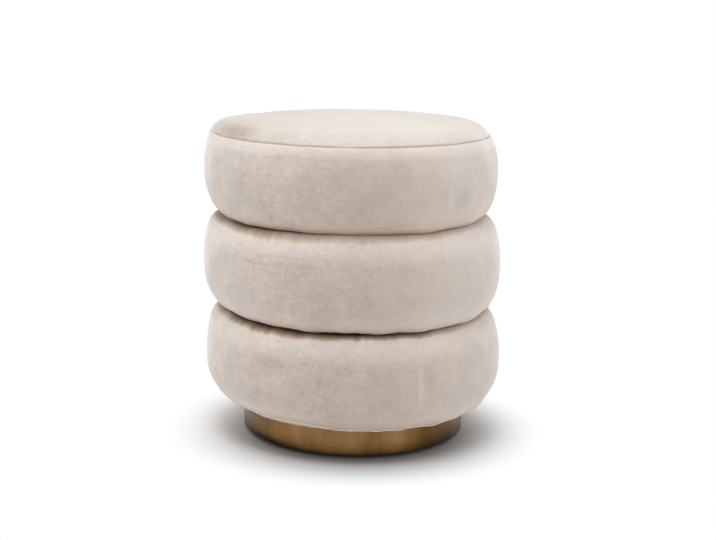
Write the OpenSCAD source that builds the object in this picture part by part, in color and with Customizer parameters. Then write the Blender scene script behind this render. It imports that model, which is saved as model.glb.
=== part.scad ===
// Round pouf of three bulging velvet tiers on a low brass-finished plinth.
// Each tier is an upholstered drum of its own. The drums are bolted through their
// boards from inside, and the plinth is bolted on from below.
// Millimetres, +Z up, origin at the centre of the footprint on the floor.

/* [Tiers] */
// Height of the seat tier, from the upper groove to the rim of the seat
seat_tier_h = 117.5; // [112:0.5:130]
// Height of the middle tier, groove to groove
middle_tier_h = 117.5; // [114:0.5:130]
// Height of the bottom tier, from the plinth to the lower groove
bottom_tier_h = 122.5; // [118:0.5:132]
// Largest radius of the bottom tier
bottom_r = 186; // [178:0.5:200]
// How much the middle tier bulges out past the bottom tier
middle_out = 0.5; // [0:0.5:4]
// How much smaller the seat tier's largest radius is than the bottom tier's
seat_in = 3; // [0:0.5:8]
// How far the seat's crown rises above its rim
seat_crown = 5; // [2:0.5:12]

/* [Shoulders] */
// How far a tier draws in under its bulge, towards the groove below it
under_in = 28; // [22:1:32]
// Height of the rounding under the bulge
under_h = 56; // [45:1:60]
// Height of the upright band between a tier's two roundings
bulge_h = 9; // [4:0.5:14]
// How far a tier draws in above its bulge, towards the groove above it
over_in = 18; // [14:1:26]
// How far the bottom tier draws in towards the plinth
foot_in = 44; // [38:1:50]
// Height of the bottom tier's rounding towards the plinth
foot_h = 59; // [48:1:66]
// How far the seat tier draws in above its bulge, towards the rim
rim_in = 34; // [28:1:40]

/* [Cover] */
// Thickness of the velvet
cover_t = 1.5; // [1:0.1:2]
// How far the turned-in hems reach in over the boards, from the drum's outside
hem_turn = 28; // [20:1:32]
// How far inside the seat's largest radius its top panel and side band are sewn together
seam_in = 12; // [8:0.5:16]
// Depth of the crease that the seam pulls into the seat
seam_dip = 1.6; // [0.5:0.1:3]
// Width of that crease, measured along the radius
seam_w = 12; // [6:1:16]

/* [Padding] */
// Thickness of the wadding under the velvet
wadding_t = 6; // [4:0.5:8]

/* [Drums] */
// How far the three wooden drums stand inside the narrowest end of a tier
frame_inset = 2; // [1:0.5:6]
// Thickness of the bent plywood wall round a drum
wall_t = 3; // [2:0.5:4]
// Width of the slit where the ends of a wall meet
wall_slit_w = 1; // [0.5:0.1:2]
// Thickness of the boards between the tiers
board_t = 12; // [9:1:15]
// Thickness of the board under the seat pad
seat_board_t = 15; // [12:1:18]
// Thickness of the foam pad at the middle of the seat
pad_t = 46; // [40:1:52]
// Distance of the hand hole in the lower boards from the middles of the bolts
hand_hole_edge = 20; // [14:1:30]
// Side of the square posts
post_w = 28; // [24:1:32]
// Distance of the middles of the posts from the drum's outside
post_edge = 24; // [22:1:30]
// Number of posts in a drum
post_count = 4; // [3:1:6]

/* [Plinth] */
// Thickness of the hoop's sheet metal
hoop_t = 1; // [0.8:0.1:1.5]
// Width of the butt joint at the back of the hoop
hoop_slit_w = 0.4; // [0.3:0.1:1]
// Thickness of the plinth's lower board
plinth_low_t = 16; // [15:1:18]
// Thickness of the plinth's upper board
plinth_high_t = 16; // [12:1:18]
// Thickness of the dust cover
dust_t = 0.5; // [0.4:0.1:1]
// Distance of the dust cover's edge from the outside of the hoop
dust_edge = 8; // [4:0.5:10]

/* [Glides] */
// Thickness of a glide
glide_t = 5; // [4:0.5:6]
// Radius of a glide
glide_r = 11; // [9:0.5:12]
// Distance of the glides' edges from the edge of the dust cover
glide_inset = 3; // [1:0.5:8]
// Number of glides
glide_count = 6; // [4:1:8]

/* [Fasteners] */
// Radius of the bolts
bolt_r = 3; // [2.5:0.5:3.5]
// Distance of the middles of the bolts from the drum's outside
bolt_edge = 50; // [44:1:56]
// Number of bolts at each joint
bolt_count = 4; // [3:1:6]
// How far the bolts reach past their nuts
bolt_proud = 2.5; // [1:0.5:6]
// Length of the wood screws
screw_l = 30; // [25:1:32]
// Radius of the wood screws
screw_r = 2.25; // [1.75:0.25:2.5]
// How far the wood screws stand to one side of a post's middle
screw_side = 6; // [5:0.5:8]

/* [Hidden] */
$fn = 96;

// Clearances
ply_gap = 0.2;
board_gap = 0.2;
hole_gap = 0.1;
bolt_hole_gap = 0.4;
overrun = 1;

// Steps in a quarter of a shoulder, and across half of the seat's crown
shoulder_steps = 10;
crown_steps = 8;
full_turn = 360;
quarter_turn = 90;
back_a = 90;

// Colours
velvet_colour = [0.80, 0.74, 0.70];
wadding_colour = [0.93, 0.93, 0.91];
foam_colour = [0.90, 0.84, 0.62];
plywood_colour = [0.80, 0.66, 0.46];
pine_colour = [0.86, 0.72, 0.50];
fibreboard_colour = [0.16, 0.14, 0.13];
brass_colour = [0.62, 0.49, 0.28];
zinc_colour = [0.66, 0.67, 0.69];
dust_colour = [0.08, 0.08, 0.09];
nylon_colour = [0.16, 0.16, 0.17];

// Hardware sizes
bolt_hex_sides = 6;
bolt_head_h = 4;
bolt_head_r = 5.8;
bolt_flange_r = 7.2;
bolt_flange_t = 1.2;
bolt_tip_h = 1;
nut_flange_r = 9.5;
nut_flange_t = 1.5;
nut_barrel_l = 9;
nut_wall = 0.9;
counterbore_r = 11;
counterbore_h = 10;
screw_head_r = 4.4;
screw_head_h = 2.6;
screw_tip_h = 6;
nail_r = 1;
nail_l = 14;
nail_head_r = 3;
nail_head_t = 0.8;
nail_recess_h = 1.6;
glide_chamfer = 1.5;
nut_barrel_r = bolt_r + hole_gap + nut_wall;

// Heights of the stack, from the floor up
dust_z = glide_t;
plinth_z = dust_z + dust_t;
plinth_high_z = plinth_z + plinth_low_t;
bottom_z = plinth_high_z + plinth_high_t;
middle_z = bottom_z + bottom_tier_h;
seat_z = middle_z + middle_tier_h;
rim_z = seat_z + seat_tier_h;
crown_z = rim_z + seat_crown;

// Largest radii of the two upper tiers
middle_r = bottom_r + middle_out;
seat_r = bottom_r - seat_in;

// Heights of the roundings above the bulges
middle_over_h = middle_tier_h - under_h - bulge_h;
bottom_over_h = bottom_tier_h - foot_h - bulge_h;
rim_h = seat_tier_h - under_h - bulge_h;

// Each tier as [base height, height, radius, draw-in and height of the lower rounding,
// draw-in and height of the upper rounding]
middle_tier = [middle_z, middle_tier_h, middle_r, under_in, under_h, over_in, middle_over_h];
bottom_tier = [bottom_z, bottom_tier_h, bottom_r, foot_in, foot_h, over_in, bottom_over_h];
seat_tier = [seat_z, seat_tier_h, seat_r, under_in, under_h, rim_in, rim_h];

// Insets of the layers from the outside of the velvet
wadding_inset = cover_t + ply_gap;
foam_inset = wadding_inset + wadding_t + ply_gap;

// Drums, which all stand inside the narrowest end of a tier
function tier_end_r(tier) = tier[2] - max(tier[3], tier[5]);
narrowest_r = min(tier_end_r(seat_tier), tier_end_r(middle_tier), tier_end_r(bottom_tier));
frame_r = narrowest_r - frame_inset;
frame_board_r = frame_r - wall_t - board_gap;
padding_r = frame_r + ply_gap;
hem_r = frame_r - hem_turn;
seat_board_top_z = crown_z - foam_inset - pad_t;
seat_board_z = seat_board_top_z - seat_board_t;
post_ring_r = frame_r - post_edge;
bolt_ring_r = frame_r - bolt_edge;
hand_hole_r = bolt_ring_r - hand_hole_edge;

// Plinth, whose hoop stands right under the wall of the bottom drum
hoop_r = frame_r;
plinth_board_r = hoop_r - hoop_t - board_gap;
dust_r = hoop_r - dust_edge;
glide_ring_r = dust_r - glide_inset - glide_r;

// Lengths of the bolts, from under their heads, through the boards and hems to past their nuts
joint_bolt_l = 2 * (board_t + cover_t) + nut_flange_t + bolt_proud;
plinth_bolt_l = plinth_low_t - counterbore_h + plinth_high_t + cover_t + board_t + nut_flange_t
    + bolt_proud;

// Angles
post_start_a = quarter_turn / 2;
bolt_start_a = 0;
glide_start_a = 0;

// The seam's place on the seat's rounding, as an angle of its ellipse
rim_r = seat_r - rim_in;
seam_a = acos((rim_in - seam_in) / rim_in);
seam_spread_a = acos((rim_in - seam_in - seam_w / 2) / rim_in) - seam_a;

function reversed(points) = [for (i = [len(points) - 1:-1:0]) points[i]];

// Points along a quarter ellipse, or a stretch of it
function ellipse_points(centre_r, centre_z, semi_r, semi_z, from_a, to_a) =
    [for (i = [0:shoulder_steps])
        let (a = from_a + (to_a - from_a) * i / shoulder_steps)
        [centre_r + semi_r * cos(a), centre_z + semi_z * sin(a)]];

// A tier's lower rounding, from its base out to the bulge
function lower_points(tier, inset) =
    ellipse_points(tier[2] - tier[3], tier[0] + tier[4], tier[3] - inset, tier[4] - inset,
        -quarter_turn, 0);

// A tier's upper rounding, from the bulge in to its top
function upper_points(tier, inset) =
    ellipse_points(tier[2] - tier[5], tier[0] + tier[1] - tier[6], tier[5] - inset,
        tier[6] - inset, 0, quarter_turn);

// How much of the crease's depth the seat has at an angle of its rounding
function crease_share(a) = pow(max(0, 1 - abs(a - seam_a) / seam_spread_a), 2);

// The seat's upper rounding between two angles, creased at the seam
function rim_points(inset, crease, from_a, to_a) =
    [for (i = [0:shoulder_steps])
        let (a = from_a + (to_a - from_a) * i / shoulder_steps,
             depth = inset + crease * crease_share(a))
        [rim_r + (rim_in - depth) * cos(a), rim_z - rim_h + (rim_h - depth) * sin(a)]];

// Height of the seat's crown at a radius
function crown_height(r, inset) = rim_z + seat_crown * (1 - pow(r / rim_r, 2)) - inset;

// The seat's crown from a radius in to the middle
function crown_points(from_r, inset) =
    [for (i = [0:crown_steps])
        let (r = from_r * (1 - i / crown_steps)) [r, crown_height(r, inset)]];

// A tier's skin between two insets, with both ends turned in to a radius
module sleeve(tier, end_r, outer_inset, inner_inset) {
    top_z = tier[0] + tier[1];
    rotate_extrude()
        polygon(concat(
            [[end_r, tier[0] + outer_inset]],
            lower_points(tier, outer_inset), upper_points(tier, outer_inset),
            [[end_r, top_z - outer_inset], [end_r, top_z - inner_inset]],
            reversed(upper_points(tier, inner_inset)), reversed(lower_points(tier, inner_inset)),
            [[end_r, tier[0] + inner_inset]]));
}

// A ring of foam that fills a tier from a radius out to an inset
module foam_ring(tier, in_r, inset) {
    rotate_extrude()
        polygon(concat(
            [[in_r, tier[0] + inset]],
            lower_points(tier, inset), upper_points(tier, inset),
            [[in_r, tier[0] + tier[1] - inset]]));
}

module around(count, ring_r, start_a) {
    for (i = [0:count - 1])
        rotate([0, 0, start_a + full_turn * i / count])
            translate([ring_r, 0, 0])
                children();
}

// A round board with its base at height z
module disc(z, t, r) {
    translate([0, 0, z]) cylinder(h = t, r = r);
}

// A round hole through a board
module bore(z, t, r) {
    translate([0, 0, z - overrun]) cylinder(h = t + 2 * overrun, r = r);
}

// A countersunk wood screw, head up, with the top of its head at height 0
module screw() {
    translate([0, 0, -screw_head_h]) cylinder(h = screw_head_h, r1 = screw_r, r2 = screw_head_r);
    translate([0, 0, screw_tip_h - screw_l])
        cylinder(h = screw_l - screw_tip_h - screw_head_h, r = screw_r);
    translate([0, 0, -screw_l]) cylinder(h = screw_tip_h, r1 = screw_r / 4, r2 = screw_r);
}

// The hole that a wood screw sits in, countersunk at height 0
module screw_hole() {
    translate([0, 0, -screw_head_h])
        cylinder(h = screw_head_h, r1 = screw_r + hole_gap, r2 = screw_head_r + hole_gap);
    cylinder(h = overrun, r = screw_head_r + hole_gap);
    translate([0, 0, -screw_l - hole_gap]) cylinder(h = screw_l, r = screw_r + hole_gap);
}

// Places one screw per post, heads up at height z, to one side of the post's middle
module screws_from_above(z) {
    translate([0, 0, z])
        around(post_count, post_ring_r, post_start_a)
            translate([0, screw_side, 0]) children();
}

// Places one screw per post, heads down at height z, to the other side of the post's middle
module screws_from_below(z) {
    translate([0, 0, z])
        around(post_count, post_ring_r, post_start_a)
            translate([0, -screw_side, 0]) mirror([0, 0, 1]) children();
}

// The square posts of a drum, drilled at both ends
module posts(z, top_z, lower_board_z, upper_face_z) {
    difference() {
        around(post_count, post_ring_r, post_start_a)
            translate([-post_w / 2, -post_w / 2, z]) cube([post_w, post_w, top_z - z]);
        screws_from_above(upper_face_z) screw_hole();
        screws_from_below(lower_board_z) screw_hole();
    }
}

// The bent plywood wall round a drum, slit where its ends meet at the back
module drum_wall(z, top_z) {
    difference() {
        disc(z, top_z - z, frame_r);
        bore(z, top_z - z, frame_r - wall_t);
        rotate([0, 0, back_a])
            translate([0, -wall_slit_w / 2, z - overrun])
                cube([frame_r + overrun, wall_slit_w, top_z - z + 2 * overrun]);
    }
}

// A drum's lower board: hand hole, tee nut holes and countersunk screw holes
module lower_board(z) {
    difference() {
        disc(z, board_t, frame_board_r);
        bore(z, board_t, hand_hole_r);
        around(bolt_count, bolt_ring_r, bolt_start_a) bore(z, board_t, nut_barrel_r + hole_gap);
        screws_from_below(z) screw_hole();
    }
}

// A drum's upper board: bolt holes and countersunk screw holes
module upper_board(z) {
    difference() {
        disc(z, board_t, frame_board_r);
        around(bolt_count, bolt_ring_r, bolt_start_a) bore(z, board_t, bolt_r + bolt_hole_gap);
        screws_from_above(z + board_t) screw_hole();
    }
}

// A hexagon bolt with a flange under its head, shank up, seated at height 0
module bolt(l) {
    translate([0, 0, -bolt_flange_t]) cylinder(h = bolt_flange_t, r = bolt_flange_r);
    translate([0, 0, -bolt_flange_t - bolt_head_h])
        cylinder(h = bolt_head_h, r = bolt_head_r, $fn = bolt_hex_sides);
    cylinder(h = l - bolt_tip_h, r = bolt_r);
    translate([0, 0, l - bolt_tip_h])
        cylinder(h = bolt_tip_h, r1 = bolt_r, r2 = bolt_r - bolt_tip_h / 2);
}

// A tee nut, flange up, with the underside of its flange at height 0
module tee_nut() {
    difference() {
        union() {
            cylinder(h = nut_flange_t, r = nut_flange_r);
            translate([0, 0, -nut_barrel_l]) cylinder(h = nut_barrel_l, r = nut_barrel_r);
        }
        bore(-nut_barrel_l, nut_barrel_l + nut_flange_t, bolt_r + hole_gap);
    }
}

module bolts_at(z, l) {
    translate([0, 0, z]) around(bolt_count, bolt_ring_r, bolt_start_a) bolt(l);
}

module nuts_at(z) {
    translate([0, 0, z]) around(bolt_count, bolt_ring_r, bolt_start_a) tee_nut();
}

// Heights of the boards in the drums
seat_low_board_z = seat_z + cover_t;
middle_low_board_z = middle_z + cover_t;
middle_high_board_z = seat_z - cover_t - board_t;
bottom_low_board_z = bottom_z + cover_t;
bottom_high_board_z = middle_z - cover_t - board_t;

// Seat tier
module seat_top_panel() {
    color(velvet_colour)
        rotate_extrude()
            polygon(concat(
                rim_points(0, seam_dip, seam_a, quarter_turn), crown_points(rim_r, 0),
                reversed(crown_points(rim_r, cover_t)),
                reversed(rim_points(cover_t, seam_dip, seam_a, quarter_turn))));
}

module seat_side_band() {
    color(velvet_colour)
        rotate_extrude()
            polygon(concat(
                [[hem_r, seat_z]],
                lower_points(seat_tier, 0), rim_points(0, seam_dip, 0, seam_a),
                reversed(rim_points(cover_t, seam_dip, 0, seam_a)),
                reversed(lower_points(seat_tier, cover_t)),
                [[hem_r, seat_z + cover_t]]));
}

module seat_wadding() {
    inner = wadding_inset + wadding_t;
    color(wadding_colour)
        rotate_extrude()
            polygon(concat(
                [[padding_r, seat_z + wadding_inset]],
                lower_points(seat_tier, wadding_inset),
                rim_points(wadding_inset, seam_dip, 0, seam_a),
                rim_points(wadding_inset, seam_dip, seam_a, quarter_turn),
                crown_points(rim_r, wadding_inset), reversed(crown_points(rim_r, inner)),
                reversed(upper_points(seat_tier, inner)), reversed(lower_points(seat_tier, inner)),
                [[padding_r, seat_z + inner]]));
}

module seat_foam_pad() {
    color(foam_colour)
        rotate_extrude()
            polygon(concat(
                [[0, seat_board_top_z], [frame_r, seat_board_top_z]],
                crown_points(frame_r, foam_inset)));
}

module seat_foam_ring() {
    color(foam_colour)
        rotate_extrude()
            polygon(concat(
                [[padding_r, seat_z + foam_inset]],
                lower_points(seat_tier, foam_inset), upper_points(seat_tier, foam_inset),
                [[padding_r, crown_height(padding_r, foam_inset)]]));
}

module seat_board() {
    color(plywood_colour)
        difference() {
            disc(seat_board_z, seat_board_t, frame_board_r);
            screws_from_above(seat_board_top_z) screw_hole();
        }
}

module seat_posts() {
    color(pine_colour)
        posts(seat_low_board_z + board_t, seat_board_z, seat_low_board_z, seat_board_top_z);
}

module seat_wall() {
    color(plywood_colour) drum_wall(seat_low_board_z, seat_board_top_z);
}

module seat_lower_board() {
    color(plywood_colour) lower_board(seat_low_board_z);
}

module seat_frame_screws() {
    color(zinc_colour) {
        screws_from_above(seat_board_top_z) screw();
        screws_from_below(seat_low_board_z) screw();
    }
}

// Middle tier
module middle_cover() {
    color(velvet_colour) sleeve(middle_tier, hem_r, 0, cover_t);
}

module middle_wadding() {
    color(wadding_colour) sleeve(middle_tier, padding_r, wadding_inset, wadding_inset + wadding_t);
}

module middle_foam_ring() {
    color(foam_colour) foam_ring(middle_tier, padding_r, foam_inset);
}

module middle_upper_board() {
    color(plywood_colour) upper_board(middle_high_board_z);
}

module middle_posts() {
    color(pine_colour)
        posts(middle_low_board_z + board_t, middle_high_board_z, middle_low_board_z,
            middle_high_board_z + board_t);
}

module middle_wall() {
    color(plywood_colour) drum_wall(middle_low_board_z, middle_high_board_z + board_t);
}

module middle_lower_board() {
    color(plywood_colour) lower_board(middle_low_board_z);
}

module middle_frame_screws() {
    color(zinc_colour) {
        screws_from_above(middle_high_board_z + board_t) screw();
        screws_from_below(middle_low_board_z) screw();
    }
}

// Bottom tier
module bottom_cover() {
    color(velvet_colour) sleeve(bottom_tier, hem_r, 0, cover_t);
}

module bottom_wadding() {
    color(wadding_colour) sleeve(bottom_tier, padding_r, wadding_inset, wadding_inset + wadding_t);
}

module bottom_foam_ring() {
    color(foam_colour) foam_ring(bottom_tier, padding_r, foam_inset);
}

module bottom_upper_board() {
    color(plywood_colour) upper_board(bottom_high_board_z);
}

module bottom_posts() {
    color(pine_colour)
        posts(bottom_low_board_z + board_t, bottom_high_board_z, bottom_low_board_z,
            bottom_high_board_z + board_t);
}

module bottom_wall() {
    color(plywood_colour) drum_wall(bottom_low_board_z, bottom_high_board_z + board_t);
}

module bottom_lower_board() {
    color(plywood_colour) lower_board(bottom_low_board_z);
}

module bottom_frame_screws() {
    color(zinc_colour) {
        screws_from_above(bottom_high_board_z + board_t) screw();
        screws_from_below(bottom_low_board_z) screw();
    }
}

// Joints between the tiers and the plinth: each bolt goes up through the upper board of the
// part below into a tee nut on the lower board of the part above
module seat_joint_bolts() {
    color(zinc_colour) bolts_at(middle_high_board_z, joint_bolt_l);
}

module seat_joint_nuts() {
    color(zinc_colour) nuts_at(seat_low_board_z + board_t);
}

module base_joint_bolts() {
    color(zinc_colour) bolts_at(bottom_high_board_z, joint_bolt_l);
}

module base_joint_nuts() {
    color(zinc_colour) nuts_at(middle_low_board_z + board_t);
}

module plinth_bolts() {
    color(zinc_colour) bolts_at(plinth_z + counterbore_h, plinth_bolt_l);
}

module plinth_nuts() {
    color(zinc_colour) nuts_at(bottom_low_board_z + board_t);
}

// Plinth
module plinth_upper_board() {
    color(fibreboard_colour)
        difference() {
            disc(plinth_high_z, plinth_high_t, plinth_board_r);
            around(bolt_count, bolt_ring_r, bolt_start_a)
                bore(plinth_high_z, plinth_high_t, bolt_r + bolt_hole_gap);
        }
}

module plinth_lower_board() {
    color(fibreboard_colour)
        difference() {
            disc(plinth_z, plinth_low_t, plinth_board_r);
            around(bolt_count, bolt_ring_r, bolt_start_a) {
                bore(plinth_z, plinth_low_t, bolt_r + bolt_hole_gap);
                translate([0, 0, plinth_z - overrun])
                    cylinder(h = counterbore_h + overrun, r = counterbore_r);
            }
            nail_holes();
        }
}

module plinth_hoop() {
    hoop_h = plinth_low_t + plinth_high_t;
    color(brass_colour)
        difference() {
            disc(plinth_z, hoop_h, hoop_r);
            bore(plinth_z, hoop_h, hoop_r - hoop_t);
            rotate([0, 0, back_a])
                translate([0, -hoop_slit_w / 2, plinth_z - overrun])
                    cube([hoop_r + overrun, hoop_slit_w, hoop_h + 2 * overrun]);
        }
}

module dust_cover() {
    color(dust_colour)
        difference() {
            disc(dust_z, dust_t, dust_r);
            nail_holes();
        }
}

// Glides, each held by a nail whose head is sunk in its underside
module nail_holes() {
    around(glide_count, glide_ring_r, glide_start_a)
        cylinder(h = nail_recess_h + nail_l + hole_gap, r = nail_r + hole_gap);
}

module glides() {
    color(nylon_colour)
        around(glide_count, glide_ring_r, glide_start_a)
            difference() {
                union() {
                    cylinder(h = glide_chamfer, r1 = glide_r - glide_chamfer, r2 = glide_r);
                    translate([0, 0, glide_chamfer])
                        cylinder(h = glide_t - glide_chamfer, r = glide_r);
                }
                translate([0, 0, -overrun])
                    cylinder(h = nail_recess_h + overrun, r = nail_head_r + hole_gap);
                cylinder(h = glide_t + overrun, r = nail_r + hole_gap);
            }
}

module glide_nails() {
    color(zinc_colour)
        around(glide_count, glide_ring_r, glide_start_a)
            translate([0, 0, nail_recess_h - nail_head_t]) {
                cylinder(h = nail_head_t, r = nail_head_r);
                cylinder(h = nail_l, r = nail_r);
            }
}

seat_top_panel();
seat_side_band();
seat_wadding();
seat_foam_pad();
seat_foam_ring();
seat_board();
seat_posts();
seat_wall();
seat_lower_board();
seat_frame_screws();
middle_cover();
middle_wadding();
middle_foam_ring();
middle_upper_board();
middle_posts();
middle_wall();
middle_lower_board();
middle_frame_screws();
bottom_cover();
bottom_wadding();
bottom_foam_ring();
bottom_upper_board();
bottom_posts();
bottom_wall();
bottom_lower_board();
bottom_frame_screws();
seat_joint_bolts();
seat_joint_nuts();
base_joint_bolts();
base_joint_nuts();
plinth_bolts();
plinth_nuts();
plinth_upper_board();
plinth_lower_board();
plinth_hoop();
dust_cover();
glides();
glide_nails();
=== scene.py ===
"""Dresses a round three-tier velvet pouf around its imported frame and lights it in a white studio.

All lengths are in metres, +Z is up and the camera looks along +Y. The covers, the padding, the
dust cover and the hoop are meshes made here. The boards, walls, posts, fasteners and glides are
the frame's own solids with finishes of their own.
"""

from __future__ import annotations

import logging
import math
from dataclasses import dataclass, field
from enum import Enum
from typing import Sequence

import bmesh
import bpy
import numpy as np
from mathutils import Matrix, Vector


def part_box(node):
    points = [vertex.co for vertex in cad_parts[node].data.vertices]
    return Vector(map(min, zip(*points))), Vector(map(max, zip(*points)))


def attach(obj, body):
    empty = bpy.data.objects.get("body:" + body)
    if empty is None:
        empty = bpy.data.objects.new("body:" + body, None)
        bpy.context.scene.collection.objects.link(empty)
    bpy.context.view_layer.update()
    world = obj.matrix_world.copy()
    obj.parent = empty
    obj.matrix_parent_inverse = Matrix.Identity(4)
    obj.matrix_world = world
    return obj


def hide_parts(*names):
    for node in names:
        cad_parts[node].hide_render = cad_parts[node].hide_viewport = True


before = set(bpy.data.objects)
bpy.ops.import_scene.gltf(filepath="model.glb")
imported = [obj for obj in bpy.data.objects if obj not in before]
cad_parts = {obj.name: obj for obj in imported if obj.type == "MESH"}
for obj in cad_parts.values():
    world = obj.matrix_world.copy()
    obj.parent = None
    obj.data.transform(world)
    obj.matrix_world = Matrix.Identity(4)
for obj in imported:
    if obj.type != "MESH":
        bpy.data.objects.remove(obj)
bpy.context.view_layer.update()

LOG = logging.getLogger("pouf")
TAU = 2 * math.pi
MM = 0.001
ROOT = "root"
SHARP_DEG = 50
WHITE = (1, 1, 1, 1)
Triple = tuple[float, float, float]
Range = tuple[float, float]
Table = Sequence[Sequence[float]]
Socket = bpy.types.NodeSocket


class Tier(Enum):
    """The three upholstered tiers, by the first part of their pieces' names."""

    SEAT = "seat"
    MIDDLE = "middle"
    BOTTOM = "bottom"


class Grain(Enum):
    """How the layers or fibres of a wooden piece lie."""

    PLY_BOARD = "ply_board"
    PLY_WALL = "ply_wall"
    PINE = "pine"
    PRESSED = "shaded"


class Ends(Enum):
    """What closes a turned mesh at its first and last ring."""

    JOINED = "joined to each other"
    CAPPED = "each capped by a middle point"
    OPEN = "left open"


def span(low: float, high: float, count: int) -> np.ndarray:
    """Evenly spaced values from low to high, both included."""
    return np.linspace(low, high, count)


def ease(value: np.ndarray | float, low: float, high: float) -> np.ndarray:
    """A smooth step: 0 below low, 1 above high and a smooth rise between them."""
    share = np.clip((np.asarray(value) - low) / (high - low), 0, 1)
    return share * share * (3 - 2 * share)


def bell(value: np.ndarray, middle: np.ndarray | float, width: float) -> np.ndarray:
    """A bell curve: 1 at the middle, and less than 0.4 from one width away."""
    return np.exp(-((value - middle) / width) ** 2)


def gap_to(angle: np.ndarray, degrees: float) -> np.ndarray:
    """How far angles in radians are from one in degrees, in radians from -pi to pi."""
    return np.angle(np.exp(1j * (angle - math.radians(degrees))))


def around_value(angle: np.ndarray, table: Table, column: int) -> np.ndarray:
    """A table's column at angles in radians, between rows that start with one in degrees."""
    turns = [row[0] for row in table]
    return np.interp(np.degrees(angle), turns, [row[column] for row in table], period=360)


def on_rings(radius: np.ndarray, angles: np.ndarray, height: np.ndarray | float) -> np.ndarray:
    """Points as ring, place round the axis, coordinate, from shapes that fit each other."""
    x, y = radius * np.cos(angles), radius * np.sin(angles)
    return np.stack([x, y, np.broadcast_to(height, x.shape)], axis=2)


def linked(name: str, data: bpy.types.ID) -> bpy.types.Object:
    """Puts a mesh, a lamp or a camera into the scene.

    Args:
        name: The object's name.
        data: What it shows.

    Returns:
        The object.
    """
    made = bpy.data.objects.new(name, data)
    bpy.context.scene.collection.objects.link(made)
    return made


def smooth(mesh: bpy.types.Mesh) -> None:
    """Shades a mesh smooth, but for its sharp edges."""
    mesh.polygons.foreach_set("use_smooth", np.ones(len(mesh.polygons), dtype=bool))
    mesh.set_sharp_from_angle(angle=math.radians(SHARP_DEG))


def store_values(mesh: bpy.types.Mesh, layers: dict[str, np.ndarray]) -> None:
    """Stores values on the points of a mesh.

    Args:
        mesh: The mesh.
        layers: One value for each point, by the name that the finishes read.
    """
    for name, values in layers.items():
        layer = mesh.attributes.new(name, "FLOAT", "POINT")
        layer.data.foreach_set("value", np.asarray(values, dtype=np.float32))


def mesh_of(name: str, made: bmesh.types.BMesh) -> bpy.types.Mesh:
    """Turns the faces of a hand-made mesh outwards and ends it.

    Args:
        name: The mesh's name.
        made: Its faces, which are freed.

    Returns:
        The mesh.
    """
    bmesh.ops.recalc_face_normals(made, faces=made.faces)
    mesh = bpy.data.meshes.new(name)
    made.to_mesh(mesh)
    made.free()
    return mesh


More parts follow.
